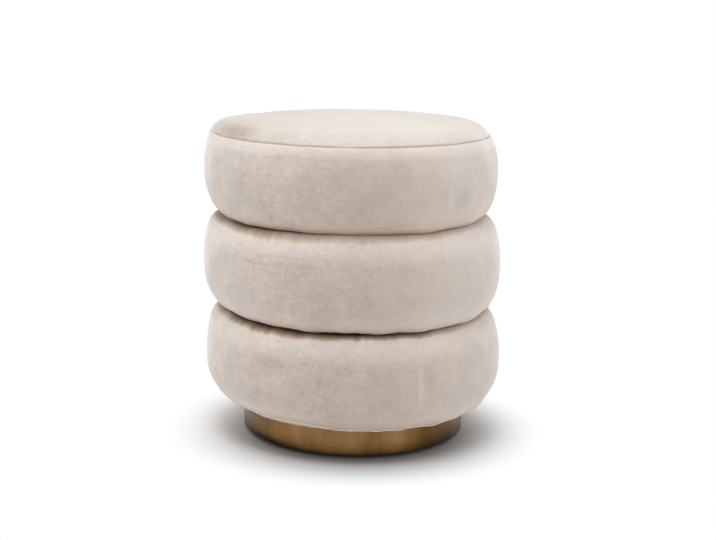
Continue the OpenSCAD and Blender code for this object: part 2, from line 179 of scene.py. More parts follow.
class Recipe:
    """The node tree of a material or a world, built one node at a time."""

    def __init__(self, owner: bpy.types.Material | bpy.types.World) -> None:
        """Starts an empty tree.

        Args:
            owner: The new material or world.
        """
        self.owner = owner
        owner.use_nodes = True
        self.tree = owner.node_tree
        self.tree.nodes.clear()

    def node(self, kind: str, inputs: dict | None = None, **settings: object) -> bpy.types.Node:
        """Adds a node.

        Args:
            kind: Blender's name for the node, without its ShaderNode prefix.
            inputs: Values or sockets for its inputs, by name or number.
            **settings: The node's own properties.

        Returns:
            The new node.
        """
        made = self.tree.nodes.new("ShaderNode" + kind)
        for key, value in settings.items():
            setattr(made, key, value)
        for key, value in (inputs or {}).items():
            if isinstance(value, Socket):
                self.tree.links.new(value, made.inputs[key])
            else:
                made.inputs[key].default_value = value
        return made

    def place(self, stretch: Triple = (1, 1, 1)) -> Socket:
        """The point on the object, with its axes stretched."""
        source = self.node("TexCoord").outputs["Object"]
        return self.node("Mapping", {0: source, 3: stretch}).outputs[0]

    def axes(self) -> Sequence[Socket]:
        """The three coordinates of the point on the object."""
        return self.node("SeparateXYZ", {0: self.place()}).outputs

    def stored(self, name: str) -> Socket:
        """A value that store_values put on the object's points."""
        return self.node("Attribute", attribute_name=name).outputs["Fac"]

    def noise(self, scale: float, detail: float = 2, rough: float = 0.5,
              where: Socket | None = None) -> Socket:
        """A noise pattern.

        Args:
            scale: Number of features to a metre, about.
            detail: Layers of finer noise.
            rough: Strength of the finer layers.
            where: The points it is looked up at.

        Returns:
            Its factor, from 0 to 1.
        """
        inputs = {"Scale": scale, "Detail": detail, "Roughness": rough, 0: where or self.place()}
        return self.node("TexNoise", inputs).outputs[0]

    def math(self, operation: str, first: object, second: object = 0.0) -> Socket:
        """A sum, product or other operation on two values."""
        return self.node("Math", {0: first, 1: second}, operation=operation).outputs[0]

    def spread(self, value: Socket, low: float, high: float, to_low: float = 0.0,
               to_high: float = 1.0) -> Socket:
        """Maps a range of values to another, held at both ends."""
        inputs = {0: value, 1: low, 2: high, 3: to_low, 4: to_high}
        return self.node("MapRange", inputs).outputs[0]

    def mix(self, share: object, first: object, second: object, blend: str = "MIX") -> Socket:
        """Mixes two colours.

        Args:
            share: How much of the second colour is used.
            first: A colour or a socket.
            second: A colour or a socket.
            blend: Blender's name for the way of mixing.

        Returns:
            The mixed colour.
        """
        pair = [(*c, 1) if isinstance(c, tuple) else c for c in (first, second)]
        made = self.node("Mix", {0: share, 6: pair[0], 7: pair[1]}, data_type="RGBA",
                         blend_type=blend)
        return made.outputs[2]

    def bump(self, height: Socket, strength: float, depth: float,
             normal: Socket | None = None) -> Socket:
        """A bumped normal.

        Args:
            height: The pattern that stands out.
            strength: How much of it shows.
            depth: Its depth in metres.
            normal: The normal under it.

        Returns:
            The new normal.
        """
        inputs = {"Strength": strength, "Distance": depth, "Height": height}
        if normal is not None:
            inputs["Normal"] = normal
        return self.node("Bump", inputs).outputs[0]

    def seen(self) -> Socket:
        """Tells which rays show the background.

        Returns:
            1 for rays from the camera, a reflection or a transmission, and else 0.
        """
        path = self.node("LightPath").outputs
        most = self.math("MAXIMUM", path["Is Camera Ray"], path["Is Glossy Ray"])
        return self.math("MAXIMUM", most, path["Is Transmission Ray"])

    def finish(self, **sockets: object) -> bpy.types.Material:
        """Ends the tree with one principled shader.

        Args:
            **sockets: Its inputs, with _ for each space in their names.

        Returns:
            The material.
        """
        inputs = {key.replace("_", " "): value for key, value in sockets.items()}
        shader = self.node("BsdfPrincipled", inputs)
        self.node("OutputMaterial", {0: shader.outputs[0]})
        return self.owner


@dataclass(frozen=True)
class VelvetFinish:
    """Cut-pile velvet: mottled by its pile, paler at grazing angles, with painted brown shade in
    its grooves.
    """

    name: str = "velvet"
    shade: Triple = (0.385, 0.308, 0.255)
    light: Triple = (0.705, 0.622, 0.563)
    # Colour of the painted shade in the grooves, at the tiers' lips and along the seam.
    crease: Triple = (0.078, 0.041, 0.014)
    # Multiplied in where the warm value is stored: a painted warm cast of shade.
    tint: Triple = (1.0, 0.89, 0.77)
    mottles: Table = ((30, 0.30), (95, 0.30), (230, 0.34), (520, 0.34))
    mottle_rough: float = 0.55
    mottle_stretch: Triple = (1, 1, 1.35)
    mottle_least: float = 0.75
    light_and_nap_strength: float = 0.4
    middle_tone: float = 0.5
    wrinkle_scale: float = 150
    wrinkle_stretch: Triple = (1, 1, 1.8)
    wrinkle_bump: float = 0.16
    wrinkle_depth: float = 0.0007
    pile_scale: float = 1500
    pile_bump: float = 0.3
    pile_depth: float = 0.0005
    roughness: float = 0.9
    specular: float = 0.1
    sheen: float = 1.0
    sheen_roughness: float = 0.5
    sheen_tint: Triple = (1.0, 0.97, 0.94)

    def make(self) -> bpy.types.Material:
        """Makes the velvet from values stored on the covers: painted light and shade with brush
        marks of the pile, a painted warm cast of shade, painted groove shade and a mottle made
        stronger where it stands in for raking light.

        Returns:
            The material.
        """
        mat = Recipe(bpy.data.materials.new(self.name))
        light_and_nap, warm, crease, brushed = (mat.stored(name)
                                      for name in ("light_and_nap", "warm", "crease", "brushed"))
        where = mat.place(self.mottle_stretch)
        uneven = None
        for scale, strength in self.mottles:
            pattern = mat.math("SUBTRACT", mat.noise(scale, 2, self.mottle_rough, where), 0.5)
            pattern = mat.math("MULTIPLY", pattern, strength)
            uneven = pattern if uneven is None else mat.math("ADD", uneven, pattern)
        # The brushed value makes the random mottle stronger on the left, standing in for light
        # raking across the pile: painted light.
        uneven = mat.math("MULTIPLY", uneven, mat.math("ADD", brushed, self.mottle_least))
        # Painted light and shade on the tiers, with brush marks of the pile, set the tone here.
        tone = mat.math("ADD", mat.math("MULTIPLY", light_and_nap, self.light_and_nap_strength), self.middle_tone)
        tone = mat.math("ADD", tone, uneven)
        colour = mat.mix(mat.spread(tone, 0.0, 1.0), self.shade, self.light)
        # Painted warm cast of shade near creases and the tiers' lower parts.
        colour = mat.mix(warm, colour, self.tint, "MULTIPLY")
        # Painted shade: the stored crease value darkens grooves and lips towards the shade colour.
        colour = mat.mix(crease, colour, self.crease)
        wrinkles = mat.noise(self.wrinkle_scale, 3, 0.6, mat.place(self.wrinkle_stretch))
        pile = mat.noise(self.pile_scale, 2, 0.6)
        normal = mat.bump(wrinkles, self.wrinkle_bump, self.wrinkle_depth)
        normal = mat.bump(pile, self.pile_bump, self.pile_depth, normal)
        return mat.finish(Base_Color=colour, Roughness=self.roughness,
                          Specular_IOR_Level=self.specular, Sheen_Weight=self.sheen,
                          Sheen_Roughness=self.sheen_roughness,
                          Sheen_Tint=(*self.sheen_tint, 1), Normal=normal)


@dataclass(frozen=True)
class BrassFinish:
    """Satin brass-finished sheet metal, brushed along the hoop."""

    name: str = "brass_finish"
    colour: Triple = (0.322, 0.187, 0.073)
    # Dark end of the hoop's random clouds and of its painted reflection bands.
    cloud_and_reflection: Triple = (0.122, 0.065, 0.022)
    # Colour of the painted reflection of the floor's shade at the hoop's foot.
    shade_dark: Triple = (0.030, 0.016, 0.006)
    reflection_strength: float = -0.5
    line_scale: float = 40
    line_stretch: Triple = (1, 1, 60)
    line_bump: float = 0.12
    line_depth: float = 0.0002
    cloud_scale: float = 55
    cloud_stretch: Triple = (1, 1, 0.35)
    roughness: Range = (0.25, 0.39)
    foot_z: Range = (5.5 * MM, 15.5 * MM)
    foot_fade: float = 0.8

    def make(self) -> bpy.types.Material:
        """Makes the brass finish, with brush lines, painted reflection bands and a painted
        reflection of the floor's shade at its foot.

        Returns:
            The material.
        """
        mat = Recipe(bpy.data.materials.new(self.name))
        brushed = mat.noise(self.line_scale, 3, 0.6, mat.place(self.line_stretch))
        cloudy = mat.noise(self.cloud_scale, 3, 0.6, mat.place(self.cloud_stretch))
        # The stored tone paints reflection bands on the hoop, mixed with random clouds.
        tone = mat.math("ADD", mat.math("MULTIPLY", mat.stored("tone"), self.reflection_strength),
                        cloudy)
        colour = mat.mix(mat.spread(tone, 0.0, 1.0), self.colour, self.cloud_and_reflection)
        # Painted reflection of the floor's dark shade along the foot, as deep as the feet table
        # sets it.
        climb = mat.spread(mat.axes()[2], *self.foot_z)
        shade_mark = mat.spread(mat.math("SUBTRACT", mat.stored("foot"), climb), 0.0, self.foot_fade)
        colour = mat.mix(shade_mark, colour, self.shade_dark)
        return mat.finish(Base_Color=colour, Metallic=1.0,
                          Roughness=mat.spread(brushed, 0.2, 0.8, *self.roughness),
                          Normal=mat.bump(brushed, self.line_bump, self.line_depth))


@dataclass(frozen=True)
class WoodFinish:
    """Bare wood: plywood boards and walls, pine posts and pressed fibreboard."""

    name: str
    grain: Grain
    light: Triple
    dark: Triple
    layer: float = 0.0015
    layer_strength: float = 0.55
    roughness: Range = (0.62, 0.8)
    bump: float = 0.3
    depth: float = 0.0004

    def layers(self, mat: Recipe, colour: Socket) -> Socket:
        """Draws the plies on the edges of a board.

        Args:
            mat: The wood's recipe.
            colour: Its colour so far.

        Returns:
            The colour with darker plies.
        """
        plies = mat.math("PINGPONG", mat.axes()[2], self.layer)
        facing = mat.node("SeparateXYZ", {0: mat.node("NewGeometry").outputs["Normal"]})
        side = mat.spread(mat.math("ABSOLUTE", facing.outputs[2]), 0.3, 0.6, 1.0, 0.0)
        band = mat.spread(plies, 0.3 * self.layer, 0.7 * self.layer)
        band = mat.math("MULTIPLY", band, self.layer_strength)
        darker = tuple(self.layer_strength * c for c in self.dark)
        return mat.mix(mat.math("MULTIPLY", side, band), colour, darker)

    def make(self) -> bpy.types.Material:
        """Makes the wood, with its grain along the piece.

        Returns:
            The material.
        """
        mat = Recipe(bpy.data.materials.new(self.name))
        stretch = {Grain.PLY_BOARD: (1.2, 14, 14), Grain.PLY_WALL: (9, 9, 0.8),
                   Grain.PINE: (22, 22, 1.2), Grain.PRESSED: (1, 1, 1)}[self.grain]
        scale = 420 if self.grain is Grain.PRESSED else 9
        fibres = mat.noise(scale, 5, 0.62, mat.place(stretch))
        colour = mat.mix(mat.spread(fibres, 0.32, 0.68), self.dark, self.light)
        if self.grain is Grain.PLY_BOARD:
            colour = self.layers(mat, colour)
        rough = mat.spread(mat.noise(scale * 12, 2, 0.7), 0.3, 0.7, *self.roughness)
        return mat.finish(Base_Color=colour, Roughness=rough, Specular_IOR_Level=0.3,
                          Normal=mat.bump(fibres, self.bump, self.depth))


@dataclass(frozen=True)
class SoftFinish:
    """Foam, wadding or dust cloth: a matt, porous or fibrous surface."""

    name: str
    light: Triple
    dark: Triple
    pore_scale: float
    pore_depth: float
    sheen: float = 0.0
    pore_bump: float = 0.6
    cloud_scale: float = 35
    roughness: float = 0.95
    specular: float = 0.15

    def make(self) -> bpy.types.Material:
        """Makes the soft material, speckled and bumped at the size of its pores.

        Returns:
            The material.
        """
        mat = Recipe(bpy.data.materials.new(self.name))
        pores = mat.node("TexVoronoi", {"Scale": self.pore_scale, 0: mat.place()}).outputs[0]
        clouds = mat.noise(self.cloud_scale, 3, 0.5)
        speck = mat.noise(self.pore_scale * 0.6, 3, 0.7)
        tone = mat.math("ADD", mat.math("MULTIPLY", clouds, 0.5), mat.math("MULTIPLY", speck, 0.5))
        colour = mat.mix(mat.spread(tone, 0.3, 0.7), self.dark, self.light)
        return mat.finish(Base_Color=colour, Roughness=self.roughness,
                          Specular_IOR_Level=self.specular, Sheen_Weight=self.sheen,
                          Sheen_Roughness=0.5,
                          Normal=mat.bump(pores, self.pore_bump, self.pore_depth))


@dataclass(frozen=True)
class HardwareFinish:
    """Zinc-plated steel or moulded nylon."""

    name: str
    light: Triple
    dark: Triple
    metallic: float
    roughness: Range
    cloud_scale: float = 90
    grain_scale: float = 700
    grain_bump: float = 0.15
    grain_depth: float = 0.0002

    def make(self) -> bpy.types.Material:
        """Makes the hardware's material, with a faint cloudiness and surface grain.

        Returns:
            The material.
        """
        mat = Recipe(bpy.data.materials.new(self.name))
        clouds = mat.noise(self.cloud_scale, 3, 0.6)
        grain = mat.noise(self.grain_scale, 3, 0.6)
        colour = mat.mix(mat.spread(clouds, 0.35, 0.65), self.dark, self.light)
        return mat.finish(Base_Color=colour, Metallic=self.metallic,
                          Roughness=mat.spread(grain, 0.3, 0.7, *self.roughness),
                          Normal=mat.bump(grain, self.grain_bump, self.grain_depth))


class Finishes:
    """Every finish of the pouf, made once."""

    def __init__(self) -> None:
        """Makes the materials."""
        self.velvet = VelvetFinish().make()
        # A lighter copy of the velvet for the top panel: painted light, for the light and sheen
        # that the top catches.
        self.velvet_top_lit = VelvetFinish(
            "velvet_top_lit", (0.400, 0.318, 0.258), (0.800, 0.738, 0.672),
            mottles=((30, 0.30), (95, 0.24), (230, 0.18), (520, 0.14))).make()
        # Copies of the velvet with less and less sheen, for faces in the grooves' shade: painted
        # shade.
        self.shaded = [
            VelvetFinish(f"velvet_shaded_{number}", sheen=sheen, specular=0.1 * sheen).make()
            for number, sheen in enumerate((0.7, 0.35, 0.0))]
        self.brass = BrassFinish().make()
        self.plywood = WoodFinish(
            "plywood", Grain.PLY_BOARD, (0.66, 0.49, 0.29), (0.50, 0.34, 0.18)).make()
        self.bent_ply = WoodFinish(
            "bent_plywood", Grain.PLY_WALL, (0.68, 0.52, 0.32), (0.52, 0.36, 0.20)).make()
        self.pine = WoodFinish(
            "pine", Grain.PINE, (0.72, 0.54, 0.31), (0.55, 0.35, 0.17)).make()
        self.fibreboard = WoodFinish(
            "fibreboard", Grain.PRESSED, (0.030, 0.026, 0.023), (0.016, 0.014, 0.012)).make()
        self.foam = SoftFinish(
            "foam", (0.82, 0.70, 0.36), (0.72, 0.59, 0.27), 900, 0.0006).make()
        self.wadding = SoftFinish(
            "wadding", (0.86, 0.86, 0.83), (0.74, 0.74, 0.71), 260, 0.0012, 0.4).make()
        self.dust_cloth = SoftFinish(
            "dust_cloth", (0.013, 0.013, 0.015), (0.006, 0.006, 0.007), 500, 0.0004, 0.1).make()
        self.zinc = HardwareFinish(
            "zinc_steel", (0.60, 0.61, 0.63), (0.48, 0.49, 0.52), 1.0, (0.28, 0.42)).make()
        self.nylon = HardwareFinish(
            "glide_nylon", (0.030, 0.030, 0.032), (0.018, 0.018, 0.020), 0.0, (0.36, 0.50)).make()


def turned_mesh(name: str, rings: np.ndarray, ends: Ends = Ends.JOINED) -> bpy.types.Object:
    """Joins rings of points into one smooth mesh with a metric UV map.

    Args:
        name: The piece's name.
        rings: Points as ring, place round the axis, coordinate. The first ring is the lowest on
            the inside, and the rings go up the outside.
        ends: What closes the first and the last ring.

    Returns:
        The object, in the scene.
    """
    count, around = rings.shape[:2]
    points = rings.reshape(-1, 3)
    here = np.arange(around)
    after = (here + 1) % around
    lengths = np.linalg.norm(np.diff(rings[:, 0], axis=0, append=rings[:1, 0]), axis=1)
    rise = np.concatenate([[0], np.cumsum(lengths)])
    girth = TAU * np.linalg.norm(rings[..., :2], axis=2).max()
    across = np.stack([here, here + 1, here + 1, here], axis=1) / around * girth
    faces: list[np.ndarray] = []
    uvs: list[np.ndarray] = []
    for strip in range(count if ends is Ends.JOINED else count - 1):
        low, high = strip * around, ((strip + 1) % count) * around
        faces.append(np.stack([low + here, low + after, high + after, high + here], axis=1))
        up = np.broadcast_to([rise[strip]] * 2 + [rise[strip + 1]] * 2, (around, 4))
        uvs.append(np.stack([across, up], axis=2).reshape(-1, 2))
    if ends is Ends.CAPPED:
        low, high = here * 0 + len(points), here * 0 + len(points) + 1
        last = (count - 1) * around
        faces.append(np.stack([low, after, here], axis=1))
        faces.append(np.stack([last + here, last + after, high], axis=1))
        uvs.append(np.zeros((around * 6, 2)))
        points = np.concatenate([points, [ring.mean(axis=0) for ring in (rings[0], rings[-1])]])
    corners = np.concatenate([part.reshape(-1) for part in faces])
    sizes = np.concatenate([np.full(len(part), part.shape[1]) for part in faces])
    mesh = bpy.data.meshes.new(name)
    mesh.vertices.add(len(points))
    mesh.vertices.foreach_set("co", points.astype(np.float32).reshape(-1))
    mesh.loops.add(len(corners))
    mesh.loops.foreach_set("vertex_index", corners.astype(np.int32))
    mesh.polygons.add(len(sizes))
    starts = np.concatenate([[0], np.cumsum(sizes)[:-1]])
    mesh.polygons.foreach_set("loop_start", starts.astype(np.int32))
    layer = mesh.uv_layers.new(name="UVMap")
    layer.data.foreach_set("uv", np.concatenate(uvs).astype(np.float32).reshape(-1))
    mesh.update(calc_edges=True)
    mesh.validate()
    smooth(mesh)
    return linked(name, mesh)


def settle_piece(piece: bpy.types.Object, material: bpy.types.Material, slot: str,
                 *nodes: str) -> bpy.types.Object:
    """Dresses a finished piece, hangs it on the root body and hides the frame's solids that it
    stands for.

    Args:
        piece: The mesh object.
        material: Its material.
        slot: The record's slot that the finish comes from. Not used.
        *nodes: The frame's solids that it stands for.

    Returns:
        The same piece.
    """
    piece.data.materials.append(material)
    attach(piece, ROOT)
    if nodes:
        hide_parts(*nodes)
    LOG.info("%s: %d points, %d faces", piece.name, len(piece.data.vertices),
             len(piece.data.polygons))
    return piece


def dress_solid(node: str, material: bpy.types.Material) -> None:
    """Gives one of the frame's solids its finish.

    Args:
        node: The solid's name.
        material: Its material.
    """
    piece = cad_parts[node]
    for place in piece.material_slots:
        place.material = material
    for face in piece.data.polygons:
        if face.material_index >= len(piece.material_slots):
            raise ValueError(f"{node} has a face without a finish")
    LOG.info("%s: %s", node, material.name)


@dataclass
class Waves:
    """A smooth random field round a tier, made of waves with whole numbers of turns."""

    seed: int
    count: int
    turns: Range
    climbs: Range

    def at(self, around: np.ndarray, height: np.ndarray) -> np.ndarray:
        """The field's values.

        Args:
            around: Angles, in radians.
            height: Distances up the surface, in metres.

        Returns:
            One row for each height, with a spread of about 1.
        """
        draw = np.random.RandomState(self.seed)
        turns = np.round(draw.uniform(*self.turns, self.count))
        climbs = draw.uniform(*self.climbs, self.count) * draw.choice([-1, 1], self.count)
        phases = draw.uniform(0, TAU, self.count)
        total = np.zeros((len(height), len(around)))
        for turn, climb, phase in zip(turns, climbs, phases):
            total += np.cos(turn * around[None, :] + TAU * climb * height[:, None] + phase)
        return total * math.sqrt(2 / self.count)


@dataclass
class Gathers:
    """Small folds that run out of a groove or a seam, where the velvet is drawn in."""

    seed: int
    radius: float
    count: int
    depth: float
    width: float
    reach: float
    start: float = 2.5 * MM
    stray: float = 0.42
    depth_shares: Range = (0.25, 1.0)
    width_shares: Range = (0.7, 1.5)
    reach_shares: Range = (0.4, 1.3)

    def at(self, around: np.ndarray, distance: np.ndarray) -> np.ndarray:
        """How far the folds lie in.

        Args:
            around: Angles, in radians.
            distance: Distances from the groove or seam, in metres.

        Returns:
            Depths in metres, one row for each distance.
        """
        draw = np.random.RandomState(self.seed)
        strays = draw.uniform(-self.stray, self.stray, self.count)
        places = (np.arange(self.count) + strays) * (TAU / self.count)
        depths = self.depth * draw.uniform(*self.depth_shares, self.count) ** 1.5
        widths = self.width * draw.uniform(*self.width_shares, self.count)
        reaches = self.reach * draw.uniform(*self.reach_shares, self.count)
        gap = np.angle(np.exp(1j * (around[:, None] - places[None, :])))
        ridge = depths * np.exp(-0.5 * (gap * self.radius / widths) ** 2)
        away = np.maximum(distance, 0)[:, None]
        fade = np.exp(-(away / reaches) ** 1.5) * np.clip(away / self.start, 0, 1)
        return fade @ ridge.T


@dataclass
class Wrinkle:
    """A shallow wrinkle that runs along a tier, by its middle's angle in degrees and height."""

    angle: float
    height: float
    length: float
    depth: float
    slant: float = 0.0
    width: float = 1.9 * MM
    bend: float = 1.5 * MM
    bends: float = 5

    def at(self, around: np.ndarray, heights: np.ndarray, radius: float) -> np.ndarray:
        """How far the wrinkle lies in.

        Args:
            around: Angles, in radians.
            heights: Heights, of a shape that fits the angles.
            radius: The tier's radius.

        Returns:
            Depths in metres.
        """
        along = gap_to(around, self.angle) * radius
        share = along / (0.5 * self.length)
        line = self.height + self.slant * along
        line = line + self.bend * np.sin(self.bends * share + self.angle)
        fade = np.clip(1 - share ** 2, 0, 1) ** 0.75
        return self.depth * fade * bell(heights, line, self.width)


@dataclass(frozen=True)
class SoftSpot:
    """A soft spot, by its angle in degrees, radius and height, used for brush marks of the pile,
    patches of painted light and shade, and bulges.
    """

    angle: float
    radius: float
    height: float
    width: float
    tall: float
    tone: float

    def at(self, points: np.ndarray) -> np.ndarray:
        """The mark's strength.

        Args:
            points: Points in the last axis.

        Returns:
            Its tone at each point.
        """
        turn = math.radians(self.angle)
        gap = np.hypot(points[..., 0] - self.radius * math.cos(turn),
                       points[..., 1] - self.radius * math.sin(turn))
        away = (gap / self.width) ** 2 + ((points[..., 2] - self.height) / self.tall) ** 2
        return self.tone * np.exp(-away)


@dataclass
class Rows:
    """Rows of a tier's surface from its lower hem to its upper end."""

    radius: np.ndarray
    height: np.ndarray
    out: np.ndarray
    up: np.ndarray
    rise: np.ndarray
    fall: np.ndarray
    dip: np.ndarray


@dataclass
class Places:
    """Where a cover's points lie on their tier, before it leans."""

    points: np.ndarray
    angle: np.ndarray
    radius: np.ndarray
    rise: np.ndarray
    fall: np.ndarray
    arc: np.ndarray


@dataclass
class Leaning:
    """How the soft tiers sit on their drums: a slight lean and uneven grooves and hem.

    The lifts are rows of an angle in degrees and millimetres. Those of the lips are first for
    the lower groove and then for the upper one.
    """

    lean: float = -0.026
    from_z: float = 0.050
    drum_r: float = 0.1405
    free_r: float = 0.160
    board_z: float = 0.3465
    free_z: float = 0.378
    grooves: Range = (0.160, 0.2775)
    wobble: float = 0.32 * MM
    wobble_seed: int = 40
    wobble_turns: Sequence[int] = (5, 9, 14, 22)
    wobble_reach: float = 0.022
    wobble_r: Range = (0.150, 0.168)
    lip_reach: float = 0.012
    lip_h: float = 0.6 * MM
    lip_r: Range = (0.150, 0.158)
    lip_lifts: Table = (
        (-170, 0.0, 0.0), (-139, 0.0, 0.0), (-131, 0.4, 0.0), (-122, -0.6, -0.2),
        (-113, 0.5, 0.2), (-105, -0.6, 0.0), (-97, 1.0, -0.7), (-90, 1.1, -1.2),
        (-81, 0.0, -0.7), (-77, -0.6, -0.5), (-72, 0.3, -0.8), (-67, 0.1, -0.6),
        (-62, -0.3, -0.8), (-56, -0.4, -1.5), (-51, -0.4, -1.1), (-42, -0.4, 0.4),
        (-35, -1.5, -0.9), (-20, 0.0, 0.0), (145, 0.0, 0.0))
    lift: float = 3.6 * MM
    lift_angle: float = -152
    lift_width: float = 30
    lift_reach: float = 0.036
    lift_r: Range = (0.142, 0.168)
    hem_z: float = 0.0375
    hem_reach: float = 0.026
    hem_r: Range = (0.142, 0.157)
    hem_lifts: Table = (
        (-170, 2.6), (-150, 4.0), (-137, 4.5), (-130, 4.8), (-122, 4.6), (-112, 4.5), (-105, 4.1),
        (-97, 0.4), (-88, -0.3), (-74, -1.1), (-69, -1.4), (-64, 0.4), (-58, -0.4), (-51, -2.2),
        (-46, -1.0), (-36, -1.2), (0, 0.0), (60, 0.8), (100, -0.6), (145, 0.9))

    def shift(self, points: np.ndarray) -> np.ndarray:
        """Moves points of the soft pieces.

        Args:
            points: Points in the last axis.

        Returns:
            The moved points.
        """
        moved = points.copy()
        radius = np.hypot(points[..., 0], points[..., 1])
        around = np.arctan2(points[..., 1], points[..., 0])
        height = points[..., 2]
        free = 1 - (1 - ease(radius, self.drum_r, self.free_r)) * (
            1 - ease(height, self.board_z, self.free_z))
        moved[..., 0] += self.lean * np.maximum(height - self.from_z, 0) * free
        for number, groove in enumerate(self.grooves):
            draw = np.random.RandomState(self.wobble_seed + number)
            wave = sum(np.cos(turn * around + draw.uniform(0, TAU)) for turn in self.wobble_turns)
            near = bell(height, groove, self.wobble_reach)
            moved[..., 2] += self.wobble * wave * near * ease(radius, *self.wobble_r)
            lips = MM * around_value(around, self.lip_lifts, number + 1)
            near = bell(height, groove, self.lip_reach) * ease(height - groove, 0.0, self.lip_h)
            moved[..., 2] += lips * near * ease(radius, *self.lip_r)
        turned = bell(np.degrees(gap_to(around, self.lift_angle)), 0, self.lift_width)
        near = bell(height, self.grooves[0], self.lift_reach)
        moved[..., 2] += self.lift * turned * near * ease(radius, *self.lift_r)
        near = bell(np.maximum(height, self.hem_z), self.hem_z, self.hem_reach)
        lifts = MM * around_value(around, self.hem_lifts, 1)
        moved[..., 2] += lifts * near * ease(radius, *self.hem_r)
        return moved


@dataclass
class TierShape:
    """The outline of one tier and the folds of its velvet.

    Gathers are given by their number, depth, width and reach.
    """

    tier: Tier
    base: float
    top: float
    radius: float
    under_in: float
    under_h: float
    over_in: float
    over_h: float
    seed: int
    wrinkles: Sequence[Wrinkle]
    around: int = 480
    low_gathers: Sequence[float] = (46, 0.6 * MM, 3.6 * MM, 17 * MM)
    high_gathers: Sequence[float] = (38, 0.5 * MM, 4.5 * MM, 18 * MM)
    lumps: float = 0.35 * MM
    ripples: float = 0.12 * MM
    ripple_least: float = 0.35
    calm_reach: float = 0.02
    near_reach: float = 0.022
    held_reach: float = 0.006
    leaning: Leaning = field(default_factory=Leaning)
    settled: np.ndarray | None = None

    @property
    def angles(self) -> np.ndarray:
        """The angles of the points in a ring."""
        return np.arange(self.around) * TAU / self.around

    @property
    def low_turns(self) -> np.ndarray:
        """Angles of the rows on the lower rounding."""
        return np.radians(span(-90, 0, 44))

    @property
    def high_turns(self) -> np.ndarray:
        """Angles of the rows on the upper rounding."""
        return np.radians(span(2, 90, 42))

    def rounding(self, turns: np.ndarray, inset: float, upper: bool) -> tuple[np.ndarray, ...]:
        """One rounding of the bulge.

        Args:
            turns: Angles on the rounding, in radians.
            inset: Depth under the outside of the velvet.
            upper: Whether it is the one above the bulge's widest part.

        Returns:
            Radius, height and the normal's two parts at each angle.
        """
        reach, tall = (self.over_in, self.over_h) if upper else (self.under_in, self.under_h)
        middle = self.top - tall if upper else self.base + tall
        cos, sin = np.cos(turns), np.sin(turns)
        out, up = cos / reach, sin / tall
        size = np.hypot(out, up)
        return (self.radius - reach + (reach - inset) * cos, middle + (tall - inset) * sin,
                out / size, up / size)

    def rows(self, inset: float, low: np.ndarray, high: np.ndarray) -> Rows:
        """Puts the two roundings together.

        Args:
            inset: Depth under the outside of the velvet.
            low: Angles on the lower rounding, from -90 degrees up.
            high: Angles on the upper rounding.

        Returns:
            The rows, with their distances from the lower groove and from the upper end.
        """
        parts = [self.rounding(low, inset, False), self.rounding(high, inset, True)]
        radius, height, out, up = (np.concatenate(pair) for pair in zip(*parts))
        path = np.concatenate([[0], np.cumsum(np.hypot(np.diff(radius), np.diff(height)))])
        return Rows(radius, height, out, up, path, path[-1] - path, np.zeros_like(path))

    def places(self, points: np.ndarray) -> Places:
        """Where points lie on the tier.

        Args:
            points: Points of a cover before it leans, one in each row.

        Returns:
            Their places, with arc as the distance from the inner end of the lower rounding.
        """
        radius = np.hypot(points[:, 0], points[:, 1])
        rise = points[:, 2] - self.base
        arc = np.hypot(np.maximum(radius - self.radius + self.under_in, 0), rise)
        return Places(points, np.arctan2(points[:, 1], points[:, 0]), radius, rise,
                      self.top - points[:, 2], arc)

    def low_folds(self, rise: np.ndarray) -> np.ndarray:
        """How far the gathers at the lower groove lie in, by distance up the tier."""
        return Gathers(self.seed, self.radius, *self.low_gathers).at(self.angles, rise)

    def bumps(self, rise: np.ndarray) -> tuple[np.ndarray, np.ndarray]:
        """The lumps and the finer ripples, with a spread of about 1, by distance up the tier."""
        return (Waves(self.seed + 2, 40, (3, 26), (3, 18)).at(self.angles, rise),
                Waves(self.seed + 3, 40, (18, 70), (10, 45)).at(self.angles, rise))

    def wrinkled(self, folds: np.ndarray, rows: Rows) -> np.ndarray:
        """Presses the drawn wrinkles into the folds.

        Args:
            folds: How far each point stands out.
            rows: The rows of points.

        Returns:
            The folds with the wrinkles.
        """
        for wrinkle in self.wrinkles:
            folds = folds - wrinkle.at(self.angles[None, :], rows.height[:, None], self.radius)
        return folds

    def folds(self, rows: Rows) -> np.ndarray:
        """The velvet's folds.

        Args:
            rows: The rows of points.

        Returns:
            How far each point stands out.
        """
        lumps, ripple = self.bumps(rows.rise)
        high = Gathers(self.seed + 1, self.radius, *self.high_gathers).at(self.angles, rows.fall)
        calm = ease(rows.rise, 0, self.calm_reach) * ease(rows.fall, 0, self.calm_reach)
        near = np.exp(-rows.rise / self.near_reach) + np.exp(-rows.fall / self.near_reach)
        total = self.lumps * lumps * calm[:, None]
        total = total + self.ripples * ripple * (self.ripple_least + near[:, None])
        total = self.wrinkled(total - (self.low_folds(rows.rise) + high), rows)
        if self.settled is not None:
            total += self.spread_settled(rows.rise)
        held = ease(rows.rise, 0, self.held_reach) * ease(rows.fall, 0, self.held_reach)
        return total * held[:, None]

    def spread_settled(self, rise: np.ndarray) -> np.ndarray:
        """Looks up the cloth simulation's folds.

        Args:
            rise: Distances up the tier, from 0 to the end of the cloth.

        Returns:
            How far the folds stand out, one row for each distance.
        """
        coarse = self.settled
        share = rise / max(rise[-1], 1e-9) * (len(coarse) - 1)
        low = np.clip(np.floor(share).astype(int), 0, len(coarse) - 2)
        part = (share - low)[:, None]
        sweep = np.fft.rfft(coarse[low] * (1 - part) + coarse[low + 1] * part, axis=1)
        bins = np.zeros((len(rise), self.around // 2 + 1), dtype=complex)
        bins[:, :sweep.shape[1]] = sweep
        return np.fft.irfft(bins, self.around, axis=1) * self.around / coarse.shape[1]

